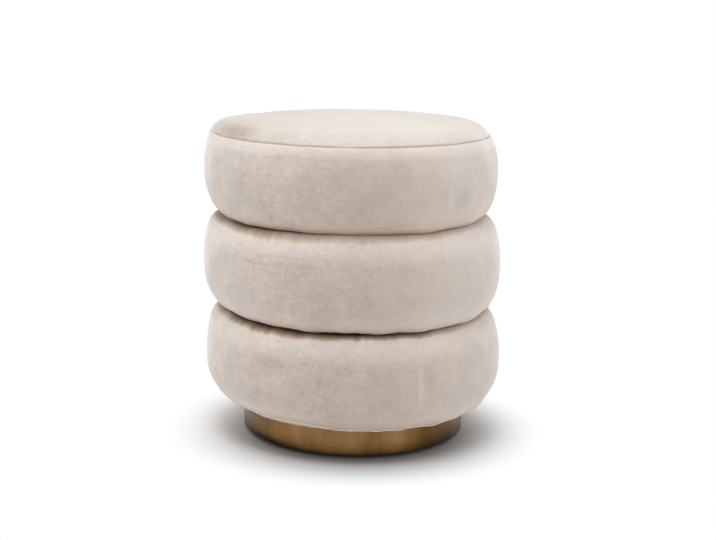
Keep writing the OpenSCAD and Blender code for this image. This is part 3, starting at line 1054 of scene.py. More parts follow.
    def points(self, rows: Rows, folds: np.ndarray) -> np.ndarray:
        """Moves the rows' points out along their normals.

        Args:
            rows: The rows of points.
            folds: How far each point stands out.

        Returns:
            The points as rings.
        """
        move = folds - rows.dip[:, None]
        return on_rings(rows.radius[:, None] + rows.out[:, None] * move, self.angles,
                        rows.height[:, None] + rows.up[:, None] * move)

    def flat(self, from_r: float, to_r: float, height: float, count: int = 4) -> np.ndarray:
        """Rings of a flat end, from one radius to another, both included."""
        return on_rings(span(from_r, to_r, count)[:, None], self.angles, height)

    def wall(self, radius: float, heights: np.ndarray) -> np.ndarray:
        """Rings of an upright wall, at the given heights."""
        return on_rings(np.full((len(heights), 1), radius), self.angles, heights[:, None])

    def turned_in(self, rings: np.ndarray, end_r: float) -> np.ndarray:
        """Adds a flat end before the first ring, as far in as the given radius."""
        radius, _, height = rings[0, 0]
        return np.concatenate([self.flat(end_r, radius, height)[:-1], rings])

    def face(self, inset: float, fold_share: float, end_r: float, coarse: int = 1) -> np.ndarray:
        """The rings of one side of a sleeve, with its flat ends.

        Args:
            inset: Depth under the outside of the velvet.
            fold_share: How much of the folds shows at this depth.
            end_r: Radius at which the turned-in ends stop.
            coarse: Every how many rows are kept.

        Returns:
            The rings, from the lower end to the upper one.
        """
        rows = self.rows(inset, self.low_turns, self.high_turns)
        body = self.points(rows, self.folds(rows) * fold_share)
        body = body[np.unique(np.r_[0:len(body):coarse, len(body) - 1])]
        low = self.flat(end_r, rows.radius[0], rows.height[0])[:-1]
        high = self.flat(rows.radius[-1], end_r, rows.height[-1])[1:]
        return np.concatenate([low, body, high])

    def sleeve(self, name: str, outer: float, inner: float, fold_share: float,
               end_r: float) -> tuple[bpy.types.Object, np.ndarray]:
        """A closed skin of the tier between two depths.

        Args:
            name: The piece's name.
            outer: Depth of its outside.
            inner: Depth of its inside.
            fold_share: How much of the folds shows.
            end_r: Radius at which its turned-in ends stop.

        Returns:
            The piece, and its rings before they lean.
        """
        inside = self.face(inner, fold_share, end_r, 2)
        rings = np.concatenate([self.face(outer, fold_share, end_r), inside[::-1]])
        return turned_mesh(name, self.leaning.shift(rings)), rings


@dataclass
class ClothBench:
    """Settles a coarse copy of a tier's sleeve with Blender's cloth, for its natural folds."""

    around: int = 224
    rows: int = 40
    frames: int = 18
    jitter: float = 0.08 * MM
    reach: float = 24 * MM
    cap: float = 2.2 * MM
    settings: Sequence[tuple[str, object]] = (
        ("vertex_group_mass", "ends"), ("vertex_group_shrink", "spare"), ("shrink_min", 0.0),
        ("shrink_max", -0.035), ("quality", 5), ("mass", 0.25), ("tension_stiffness", 25),
        ("compression_stiffness", 25), ("bending_stiffness", 0.6), ("use_pressure", True),
        ("uniform_pressure_force", 3.0))

    def add_cloth(self, piece: bpy.types.Object, distance: np.ndarray) -> None:
        """Makes a sleeve a cloth that is held at its ends and has spare length near them.

        Args:
            piece: The coarse sleeve.
            distance: How far each row is from the nearer end.
        """
        ends = piece.vertex_groups.new(name="ends")
        spare = piece.vertex_groups.new(name="spare")
        for row, amount in enumerate(bell(distance, 0, self.reach)):
            index = list(range(row * self.around, (row + 1) * self.around))
            spare.add(index, float(amount), "REPLACE")
            if row in (0, self.rows - 1):
                ends.add(index, 1.0, "REPLACE")
        cloth = piece.modifiers.new("cloth", "CLOTH")
        for key, value in self.settings:
            setattr(cloth.settings, key, value)
        cloth.settings.effector_weights.gravity = 0
        cloth.collision_settings.use_collision = False
        cloth.point_cache.frame_start = 1
        cloth.point_cache.frame_end = self.frames

    def settle(self, shape: TierShape) -> np.ndarray:
        """Runs the simulation.

        Args:
            shape: The tier whose outline is used.

        Returns:
            How far each point moved along its normal, less the mean of its row.
        """
        half = self.rows // 2
        rows = shape.rows(0, np.radians(span(-90, 0, half)), np.radians(span(4, 90, half)))
        even = span(0, rows.rise[-1], self.rows)
        radius, height, out, up = (
            np.interp(even, rows.rise, values)[:, None]
            for values in (rows.radius, rows.height, rows.out, rows.up))
        angles = np.arange(self.around) * TAU / self.around
        draw = np.random.RandomState(shape.seed + 9)
        jitter = draw.normal(0, self.jitter, (self.rows, self.around))
        rings = on_rings(radius + out * jitter, angles, height + up * jitter)
        piece = turned_mesh("cloth_bench", rings, Ends.OPEN)
        self.add_cloth(piece, np.minimum(even, even[-1] - even))
        for number in range(1, self.frames + 1):
            bpy.context.scene.frame_set(number)
        settled = piece.evaluated_get(bpy.context.evaluated_depsgraph_get())
        points = np.empty(len(settled.data.vertices) * 3, dtype=np.float32)
        settled.data.vertices.foreach_get("co", points)
        moved = ((points.reshape(rings.shape) - rings) * on_rings(out, angles, up)).sum(axis=2)
        mesh = piece.data
        bpy.data.objects.remove(piece)
        bpy.data.meshes.remove(mesh)
        bpy.context.scene.frame_set(1)
        moved -= moved.mean(axis=1, keepdims=True)
        LOG.info("%s cloth: folds of %.2f mm", shape.tier.value, 1000 * moved.std())
        return np.clip(moved, -self.cap, self.cap)


@dataclass
class Upholstery:
    """The velvet, wadding and foam of one tier that is a plain sleeve.

    Shades are rows of an angle in degrees, and at it the reach in millimetres and the strength
    of the shade under the groove above, and the strength of the shade inside that groove.
    """

    shape: TierShape
    marks: Sequence[SoftSpot]
    shades: Table = ()
    cover_t: float = 1.5 * MM
    wadding_in: float = 1.9 * MM
    wadding_out: float = 7.6 * MM
    wadding_folds: float = 0.9
    foam_in: float = 8.0 * MM
    foam_folds: float = 0.8
    hem_r: float = 0.112
    padding_r: float = 0.1403
    # Tones painted in for light and shade: a lit shoulder, brightest towards the sunny angle, a
    # darker face, lighter sides for the sheen, a lighter lower rounding with a painted highlight at
    # its edge, a darker hem and shade under each wrinkle.
    shoulder_tones: Range = (0.15, 0.5)
    shoulder_h: Range = (14 * MM, 38 * MM)
    sunny_angle: float = -122
    sunny_power: float = 1.6
    face_tone: float = -0.42
    face_h: Range = (0.0, 30 * MM)
    side_tones: Range = (0.5, 0.75)
    side_reach: Range = (0.15, 0.68)
    under_tone: float = 0.2
    under_h: Range = (12 * MM, 48 * MM)
    edge_tone: float = 1.0
    edge_at: float = 6 * MM
    edge_w: float = 4 * MM
    hem_tone: float = 0.0
    hem_tone_h: Range = (5 * MM, 20 * MM)
    hem_shade: float = 0.0
    hem_shade_arc: Range = (15 * MM, 19 * MM)
    hem_shade_h: Range = (5 * MM, 16 * MM)
    wrinkle_tone: float = 900
    wrinkle_drop: float = 0.6
    seen_r: Range = (0.10, 0.15)
    ragged_shares: Range = (0.05, 0.035)
    deep_in: Range = (5 * MM, 12 * MM)
    deep_h: float = 20 * MM
    lip: Range = (2.4 * MM, 4.8 * MM)
    # Where the painted warm cast of shade goes: low on the tier, at its lower edge and in its
    # creases.
    warm_low: float = 0.5
    warm_h: Range = (4 * MM, 28 * MM)
    warm_crease: float = 1.6
    warm_edge: float = 8 * MM
    # Where the mottle is made stronger, standing in for light raking across the pile: painted
    # light.
    brushed: float = 0.85
    brushed_angle: float = -130
    brushed_reach: float = 0.85
    # Faces at the lower lip and in the grooves' shade get velvet copies with less sheen: painted
    # shade.
    lip_shade_in: Range = (7 * MM, 14 * MM)
    lip_shade_share: float = 0.25
    shaded_shares: Triple = (0.12, 0.30, 0.50)

    @property
    def prefix(self) -> str:
        """The first part of the pieces' names."""
        return self.shape.tier.value

    def light_and_nap(self, at: Places) -> np.ndarray:
        """Painted light and shade on the velvet, with brush marks of its pile.

        Args:
            at: The places of the cover's points.

        Returns:
            The tone at each point, from about -1 to 1.
        """
        shape = self.shape
        # Painted light on the shoulder, brightest on the sunny side, and painted shade on the face.
        sunny = 0.5 + 0.5 * np.cos(at.angle - math.radians(self.sunny_angle))
        least, most = self.shoulder_tones
        on_face = ease(at.fall, *self.shoulder_h)
        total = (least + (most - least) * sunny ** self.sunny_power) * (1 - on_face)
        total += self.face_tone * on_face * ease(at.rise, *self.face_h)
        # Painted sheen: lighter towards the sides.
        across = np.cos(at.angle)
        left, right = self.side_tones
        sides = left + (right - left) * (0.5 + 0.5 * across)
        total += sides * ease(np.abs(across), *self.side_reach)
        # Painted light on the lower rounding, a painted highlight at its edge and painted shade at
        # the hem.
        total += self.under_tone * (1 - ease(at.rise, *self.under_h))
        total += self.edge_tone * bell(at.arc, self.edge_at, self.edge_w)
        total += self.hem_tone * (1 - ease(at.rise, *self.hem_tone_h))
        # Painted shade just under each wrinkle.
        for wrinkle in shape.wrinkles:
            heights = at.points[:, 2] - self.wrinkle_drop * wrinkle.width
            total -= self.wrinkle_tone * wrinkle.at(at.angle, heights, shape.radius)
        # Marks add brush marks of the pile and patches of painted light and shade.
        for mark in self.marks:
            total += mark.at(at.points)
        return total * ease(at.radius, *self.seen_r)

    def ragged(self, angle: np.ndarray) -> np.ndarray:
        """How uneven the shade under the groove is.

        Args:
            angle: Angles, in radians.

        Returns:
            Shares of its reach, around 0.
        """
        around = np.arange(-720, 721) * math.pi / 720
        broad, fine = self.ragged_shares
        seed, here = self.shape.seed, np.zeros(1)
        uneven = broad * Waves(seed + 6, 24, (5, 30), (0, 1)).at(around, here)[0]
        uneven += fine * Waves(seed + 7, 40, (40, 110), (0, 1)).at(around, here)[0]
        return np.interp(angle, around, uneven)

    def creases(self, at: Places) -> np.ndarray:
        """Where the velvet lies in the shade of a groove.

        Args:
            at: The places of the cover's points.

        Returns:
            From 0 on the open face to 1 in the groove.
        """
        shape = self.shape
        uneven = self.ragged(at.angle)
        reach, strength, deep = (around_value(at.angle, self.shades, column)
                                 for column in (1, 2, 3))
        reach = MM * reach * np.maximum(1 + uneven, 0.5)
        inward = at.radius - shape.radius + shape.over_in
        over = np.hypot(np.maximum(inward, 0), at.fall)
        high = strength * (1 + 0.6 * uneven) * np.clip(1 - (over / reach) ** 2, 0, 1)
        deep = ease(-inward, *self.deep_in) * (at.fall < self.deep_h) * deep
        low = 1 - ease(at.arc, *self.lip)
        hem = self.hem_shade * ease(at.arc, *self.hem_shade_arc)
        hem = hem * (1 - ease(at.rise, *self.hem_shade_h))
        return np.clip(np.maximum.reduce([high, deep, low, hem]), 0, 1)

    def warmth(self, at: Places, creases: np.ndarray) -> np.ndarray:
        """Where a warm, browner cast is painted in as the colour of shade.

        Args:
            at: The places of the cover's points.
            creases: Their creases.

        Returns:
            From 0 on the open face to 1 in a crease and at the tier's lower edge.
        """
        low = self.warm_low * (1 - ease(at.rise, *self.warm_h))
        edge = 1 - ease(at.arc, self.edge_at, self.edge_at + self.warm_edge)
        return np.clip(np.maximum.reduce([self.warm_crease * creases, low, edge]), 0, 1)

    def write_pile(self, piece: bpy.types.Object, rings: np.ndarray) -> None:
        """Stores on every point of a cover its painted light and shade with brush marks, its
        painted groove shade, its painted warm cast of shade and where its mottle is made stronger
        for raking light.

        Args:
            piece: The cover, before it is dressed.
            rings: Its rings before they lean. Points after them take the values of the last.
        """
        at = self.shape.places(rings.reshape(-1, 3))
        creases = self.creases(at)
        turned = gap_to(at.angle, self.brushed_angle)
        layers = {"light_and_nap": self.light_and_nap(at), "crease": creases, "warm": self.warmth(at, creases),
                  "brushed": self.brushed * bell(turned, 0, self.brushed_reach)}
        spare = len(piece.data.vertices) - len(at.points)
        store_values(piece.data, {name: np.pad(values, (0, spare), mode="edge")
                                  for name, values in layers.items()})

    def press_creases(self, piece: bpy.types.Object, rings: np.ndarray,
                      finishes: Finishes) -> None:
        """Gives the faces in the grooves' shade and at the lower lip copies of the velvet with less
        sheen: painted shade.

        Args:
            piece: The dressed cover, with its creases stored.
            rings: Its rings before they lean.
            finishes: The pouf's finishes.
        """
        mesh = piece.data
        for material in finishes.shaded:
            mesh.materials.append(material)
        crease = np.empty(len(mesh.vertices), dtype=np.float32)
        mesh.attributes["crease"].data.foreach_get("value", crease)
        arc = self.shape.places(rings.reshape(-1, 3)).arc
        crease = np.maximum(crease, self.lip_shade_share * (1 - ease(arc, *self.lip_shade_in)))
        corners = np.empty(len(mesh.loops), dtype=np.int32)
        mesh.loops.foreach_get("vertex_index", corners)
        starts = np.empty(len(mesh.polygons), dtype=np.int32)
        mesh.polygons.foreach_get("loop_start", starts)
        sums = np.add.reduceat(crease[corners], starts)
        share = sums / np.diff(np.append(starts, len(corners)))
        kinds = np.searchsorted(self.shaded_shares, share)
        mesh.polygons.foreach_set("material_index", kinds.astype(np.int32))

    def finish_cover(self, cover: bpy.types.Object, rings: np.ndarray, node: str,
                     finishes: Finishes) -> None:
        """Dresses a cover that has grooves.

        Args:
            cover: The cover.
            rings: Its rings before they lean.
            node: The frame's solid that it stands for.
            finishes: The pouf's finishes.
        """
        self.write_pile(cover, rings)
        settle_piece(cover, finishes.velvet, "velvet", node)
        self.press_creases(cover, rings, finishes)

    def build_cover(self, finishes: Finishes) -> None:
        """Makes the velvet sleeve."""
        cover = self.shape.sleeve(f"{self.prefix}_velvet", 0.0, self.cover_t, 1.0, self.hem_r)
        self.finish_cover(*cover, f"{self.prefix}_cover", finishes)

    def build_wadding(self, finishes: Finishes) -> None:
        """Makes the wadding under the velvet.

        Args:
            finishes: The pouf's finishes.
        """
        wadding, _ = self.shape.sleeve(f"{self.prefix}_wadding_layer", self.wadding_in,
                                       self.wadding_out, self.wadding_folds, self.padding_r)
        wadding = settle_piece(wadding, finishes.wadding, "wadding", f"{self.prefix}_wadding")

    def ring_of(self, name: str, outside: np.ndarray, steps: int) -> bpy.types.Object:
        """Closes the outside of a foam ring with a wall along the drum.

        Args:
            name: The piece's name.
            outside: The rings of its outside, from its lower end on the drum.
            steps: Number of heights on the drum, with both ends.

        Returns:
            The ring of foam.
        """
        heights = span(outside[-1, 0, 2], outside[0, 0, 2], steps)[1:-1]
        rings = np.concatenate([outside, self.shape.wall(self.padding_r, heights)])
        return turned_mesh(name, self.shape.leaning.shift(rings))

    def build_foam(self, finishes: Finishes) -> None:
        """Makes the ring of foam round the drum.

        Args:
            finishes: The pouf's finishes.
        """
        outside = self.shape.face(self.foam_in, self.foam_folds, self.padding_r)
        foam = self.ring_of(f"{self.prefix}_foam", outside, 8)
        settle_piece(foam, finishes.foam, "foam", f"{self.prefix}_foam_ring")

    def build(self, finishes: Finishes, bench: ClothBench | None) -> None:
        """Makes every soft piece of the tier.

        Args:
            finishes: The pouf's finishes.
            bench: The cloth bench, or nothing when the simulation is skipped.
        """
        if bench is not None:
            self.shape.settled = bench.settle(self.shape)
        self.build_cover(finishes)
        self.build_wadding(finishes)
        self.build_foam(finishes)


@dataclass
class SeatUpholstery(Upholstery):
    """The seat tier, whose cover is a crowned top panel sewn to a side band."""

    seam_in: float = 10.9 * MM
    seam_dip: float = 0.75 * MM
    seam_w: float = 4.5 * MM
    seam_edge: float = 0.18 * MM
    seam_shade: float = 0.35
    seam_shade_w: Range = (0.9 * MM, 1.9 * MM)
    seam_gathers: Sequence[float] = (96, 0.2 * MM, 2.6 * MM, 7 * MM)
    allowance: float = 17 * MM
    allowance_h: float = 0.7 * MM
    fine_ripples: float = 0.05 * MM
    calm_top: float = 0.05
    side_end: float = 0.004
    # The top panel is painted lighter, as it faces the light.
    panel_tone: float = 0.25
    panel_r: float = 0.15
    panel_waves: int = 26
    panel_wave_h: float = 0.30 * MM
    panel_long: Range = (1, 7)
    panel_cross: Range = (6, 26)
    panel_edge: float = 0.03
    # A painted brown shade on the left end of the top panel.
    shade_mark: SoftSpot = SoftSpot(-147, 0.165, 0.388, 32 * MM, 10 * MM, 0.24)
    bulges: Sequence[SoftSpot] = (SoftSpot(-174, 0.172, 0.383, 46 * MM, 12 * MM, 3.2 * MM),
                                 SoftSpot(142, 0.166, 0.390, 60 * MM, 12 * MM, -2.2 * MM))
    crown: float = 5 * MM
    crown_steps: int = 44
    padding_steps: int = 30
    inner_folds: float = 0.8
    ring_folds: float = 0.7
    board_top: float = 0.3461
    pad_r: float = 0.140

    @property
    def rim_r(self) -> float:
        """Radius at which the seat's rounding meets its crown."""
        return self.shape.radius - self.shape.over_in

    @property
    def seam_turn(self) -> float:
        """The seam's angle on the seat's upper rounding."""
        return math.acos((self.shape.over_in - self.seam_in) / self.shape.over_in)

    @property
    def seam_z(self) -> float:
        """The seam's height."""
        rise = self.shape.over_h * math.sin(self.seam_turn)
        return self.shape.top - self.shape.over_h + rise

    def on_panel(self, at: Places) -> np.ndarray:
        """1 above the seam and 0 below it."""
        return ease(at.points[:, 2], self.seam_z - 1 * MM, self.seam_z + 1 * MM)

    def crown_rows(self, inset: float, count: int) -> Rows:
        """Rows of the crown from its rim towards the middle, which is left open.

        Args:
            inset: Depth under the outside of the velvet.
            count: Number of rows, with the rim's.

        Returns:
            The rows after the rim's.
        """
        radius = span(self.rim_r, 0.002, count)[1:]
        height = self.shape.top + self.crown * (1 - (radius / self.rim_r) ** 2) - inset
        slope = -2 * self.crown * radius / self.rim_r ** 2
        size = np.hypot(1, slope)
        path = self.rim_r - radius
        return Rows(radius, height, -slope / size, 1 / size, path, path, np.zeros_like(path))

    def full_rows(self, inset: float, crown_count: int) -> tuple[Rows, int]:
        """All rows of the seat from its lower groove to the middle of its crown.

        Args:
            inset: Depth under the outside of the velvet.
            crown_count: Number of rows on the crown.

        Returns:
            The rows and the number of the seam's row.
        """
        low_turns = self.shape.low_turns
        seam = math.degrees(self.seam_turn)
        below = np.concatenate([span(3, seam - 14, 13), span(seam - 13, seam, 14)])
        above = np.concatenate([span(seam + 1, seam + 13, 13), span(seam + 15.5, 90, 10)])
        side = self.shape.rows(inset, low_turns, np.radians(np.concatenate([below, above])))
        seam_row = len(low_turns) + len(below) - 1
        crown = self.crown_rows(inset, crown_count)
        rise = np.concatenate([side.rise, side.rise[-1] + crown.rise])
        away = rise - rise[seam_row]
        dip = self.seam_dip * np.clip(1 - np.abs(away) / self.seam_w, 0, 1) ** 2
        under = np.clip(-away / self.allowance, 0, 2)
        swell = self.allowance_h * ease(under, 0, 0.35) * (1 - ease(under, 0.92, 1.12))
        outline = (np.concatenate([getattr(side, key), getattr(crown, key)])
                   for key in ("radius", "height", "out", "up"))
        return Rows(*outline, rise, rise[-1] - rise, dip - swell), seam_row

    def panel_folds(self, x: np.ndarray, y: np.ndarray) -> np.ndarray:
        """The top panel's shallow waves.

        Args:
            x: The points' first coordinates.
            y: Their second coordinates.

        Returns:
            How far the waves stand out.
        """
        draw = np.random.RandomState(self.shape.seed + 5)
        soft = np.zeros_like(x)
        for _ in range(self.panel_waves):
            long = draw.uniform(*self.panel_long)
            cross = draw.uniform(*self.panel_cross) * draw.choice([-1, 1])
            soft += np.cos(TAU * (long * x + cross * y) + draw.uniform(0, TAU))
        return self.panel_wave_h * soft * math.sqrt(2 / self.panel_waves)

    def seat_folds(self, rows: Rows, seam_row: int) -> np.ndarray:
        """The folds of the side band and of the top panel.

        Args:
            rows: The seat's rows.
            seam_row: The number of the seam's row.

        Returns:
            How far each point stands out.
        """
        shape = self.shape
        seam_at = rows.rise[seam_row]
        sewn = Gathers(shape.seed + 1, shape.radius, *self.seam_gathers)
        lumps, ripple = shape.bumps(rows.rise)
        calm = ease(rows.rise, 0, shape.calm_reach) * ease(rows.fall, 0, self.calm_top)
        side = calm * (rows.rise < seam_at + self.side_end)
        total = side[:, None] * (shape.lumps * lumps + self.fine_ripples * ripple)
        total = total - shape.low_folds(rows.rise)
        total = total - sewn.at(shape.angles, np.abs(rows.rise - seam_at))
        total = shape.wrinkled(total, rows)
        if shape.settled is not None:
            band = rows.rise <= seam_at
            total[band] += shape.spread_settled(rows.rise[band])
        grid = on_rings(rows.radius[:, None], shape.angles, rows.height[:, None])
        total += sum(bulge.at(grid) for bulge in self.bulges)
        inside = ease(rows.rise, seam_at + self.side_end, seam_at + self.panel_edge)
        total += inside[:, None] * self.panel_folds(grid[..., 0], grid[..., 1])
        return total * ease(rows.rise, 0, shape.held_reach)[:, None]

    def split(self, inset: float, share: float, crown_count: int) -> tuple[np.ndarray, int]:
        """The seat's rings at one depth.

        Args:
            inset: Depth under the outside of the velvet.
            share: How much of the folds shows.
            crown_count: Number of rows on the crown.

        Returns:
            The rings and the number of the seam's ring.
        """
        rows, seam_row = self.full_rows(inset, crown_count)
        return self.shape.points(rows, self.seat_folds(rows, seam_row) * share), seam_row

    def parted(self, rings: np.ndarray, row: int, towards: int) -> np.ndarray:
        """Draws the seam's ring back a little from the other side of the seam.

        Args:
            rings: The seat's rings.
            row: The number of the seam's ring.
            towards: The step to the neighbour that it is drawn to.

        Returns:
            The moved ring, alone.
        """
        step = rings[row + towards] - rings[row]
        size = np.linalg.norm(step, axis=1, keepdims=True)
        return (rings[row] + step / size * self.seam_edge)[None]

    def build_cover(self, finishes: Finishes) -> None:
        """Makes the side band and the top panel.

        Args:
            finishes: The pouf's finishes.
        """
        shape = self.shape
        outer, seam = self.split(0.0, 1.0, self.crown_steps)
        inner, _ = self.split(self.cover_t, 1.0, self.crown_steps)
        outside, inside = (
            shape.turned_in(np.concatenate([side[:seam], self.parted(side, seam, -1)]), self.hem_r)
            for side in (outer, inner))
        rings = np.concatenate([outside, inside[::-1]])
        band = turned_mesh("seat_velvet_band", shape.leaning.shift(rings))
        self.finish_cover(band, rings, "seat_side_band", finishes)

        over, under = (np.concatenate([self.parted(side, seam, 1), side[seam + 1:]])
                       for side in (outer, inner))
        rings = np.concatenate([under[::-1], over])
        panel = turned_mesh("seat_velvet_top", shape.leaning.shift(rings), Ends.CAPPED)
        self.write_pile(panel, rings)
        settle_piece(panel, finishes.velvet_top_lit, "velvet", "seat_top_panel")

    def light_and_nap(self, at: Places) -> np.ndarray:
        """Painted light and shade with brush marks of the pile, on the band and the panel.

        Args:
            at: The places of the cover's points.

        Returns:
            The tone at each point, from about -1 to 1.
        """
        tone = super().light_and_nap(at)
        # On the panel its marks and a painted lighter tone take over.
        level = sum(mark.at(at.points) for mark in self.marks) + self.panel_tone
        on_top = self.on_panel(at)
        return np.where(at.radius < self.panel_r, 1.0, on_top) * (level - tone) * on_top + tone

    def creases(self, at: Places) -> np.ndarray:
        """Where the velvet lies in the shade of the groove or the seam.

        Args:
            at: The places of the cover's points.

        Returns:
            From 0 on the open face to 1 in the groove or seam.
        """
        seam_r = self.shape.radius - self.seam_in
        sewn = np.hypot(at.radius - seam_r, at.points[:, 2] - self.seam_z)
        seam = self.seam_shade * (1 - ease(sewn, *self.seam_shade_w))
        # Painted shade patch on the left end of the panel.
        shade_dark = self.shade_mark.at(at.points) * self.on_panel(at)
        return np.maximum.reduce([1 - ease(at.arc, *self.lip), seam, shade_dark])

    def build_wadding(self, finishes: Finishes) -> None:
        """Makes the wadding that goes over the seat and down its side.

        Args:
            finishes: The pouf's finishes.
        """
        outside, inside = (
            self.shape.turned_in(self.split(inset, folds, self.padding_steps)[0], self.padding_r)
            for inset, folds in ((self.wadding_in, self.wadding_folds),
                                 (self.wadding_out, self.inner_folds)))
        rings = self.shape.leaning.shift(np.concatenate([inside[::-1], outside]))
        wadding = turned_mesh("seat_wadding_layer", rings, Ends.CAPPED)
        settle_piece(wadding, finishes.wadding, "wadding", "seat_wadding")

    def build_foam(self, finishes: Finishes) -> None:
        """Makes the foam ring round the drum and the pad on the seat board.

        Args:
            finishes: The pouf's finishes.
        """
        shape = self.shape
        outer, _ = self.split(self.foam_in, self.ring_folds, self.padding_steps)
        radius = np.hypot(outer[:, 0, 0], outer[:, 0, 1])
        on_drum = (radius < self.padding_r + 0.001) & (outer[:, 0, 2] > shape.top - 0.03)
        cut = int(np.argmax(on_drum))
        edge = shape.wall(self.padding_r, outer[cut - 1:cut, 0, 2])
        outside = np.concatenate([shape.turned_in(outer[:cut], self.padding_r), edge])
        ring = self.ring_of("seat_foam", outside, 10)
        settle_piece(ring, finishes.foam, "foam", "seat_foam_ring")

        crown = outer[cut:]
        base = shape.flat(0.004, self.pad_r, self.board_top, 12)
        side = shape.wall(self.pad_r, span(self.board_top, crown[0, 0, 2], 7)[1:])
        crown = crown[radius[cut:] < self.pad_r - 0.0005]
        rings = shape.leaning.shift(np.concatenate([base, side, crown]))
        pad = turned_mesh("seat_pad", rings, Ends.CAPPED)
        settle_piece(pad, finishes.foam, "foam", "seat_foam_pad")


@dataclass
class Drums:
    """The three wooden drums and the fasteners that hold everything together."""

    boards: tuple[str, ...] = ("lower_board", "upper_board", "board")
    hardware: Sequence[str] = ("seat_joint_bolts", "seat_joint_nuts", "base_joint_bolts",
                               "base_joint_nuts", "plinth_bolts", "plinth_nuts", "glide_nails")

    def build(self, finishes: Finishes) -> None:
        """Dresses the boards, walls, posts, screws, bolts and nuts.

        Args:
            finishes: The pouf's finishes.
        """
        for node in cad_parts:
            if node.endswith("_frame_screws") or node in self.hardware:
                dress_solid(node, finishes.zinc)
            elif node.endswith("_wall"):
                dress_solid(node, finishes.bent_ply)
            elif node.endswith("_posts"):
                dress_solid(node, finishes.pine)
            elif node.endswith(self.boards) and not node.startswith("plinth"):
                dress_solid(node, finishes.plywood)


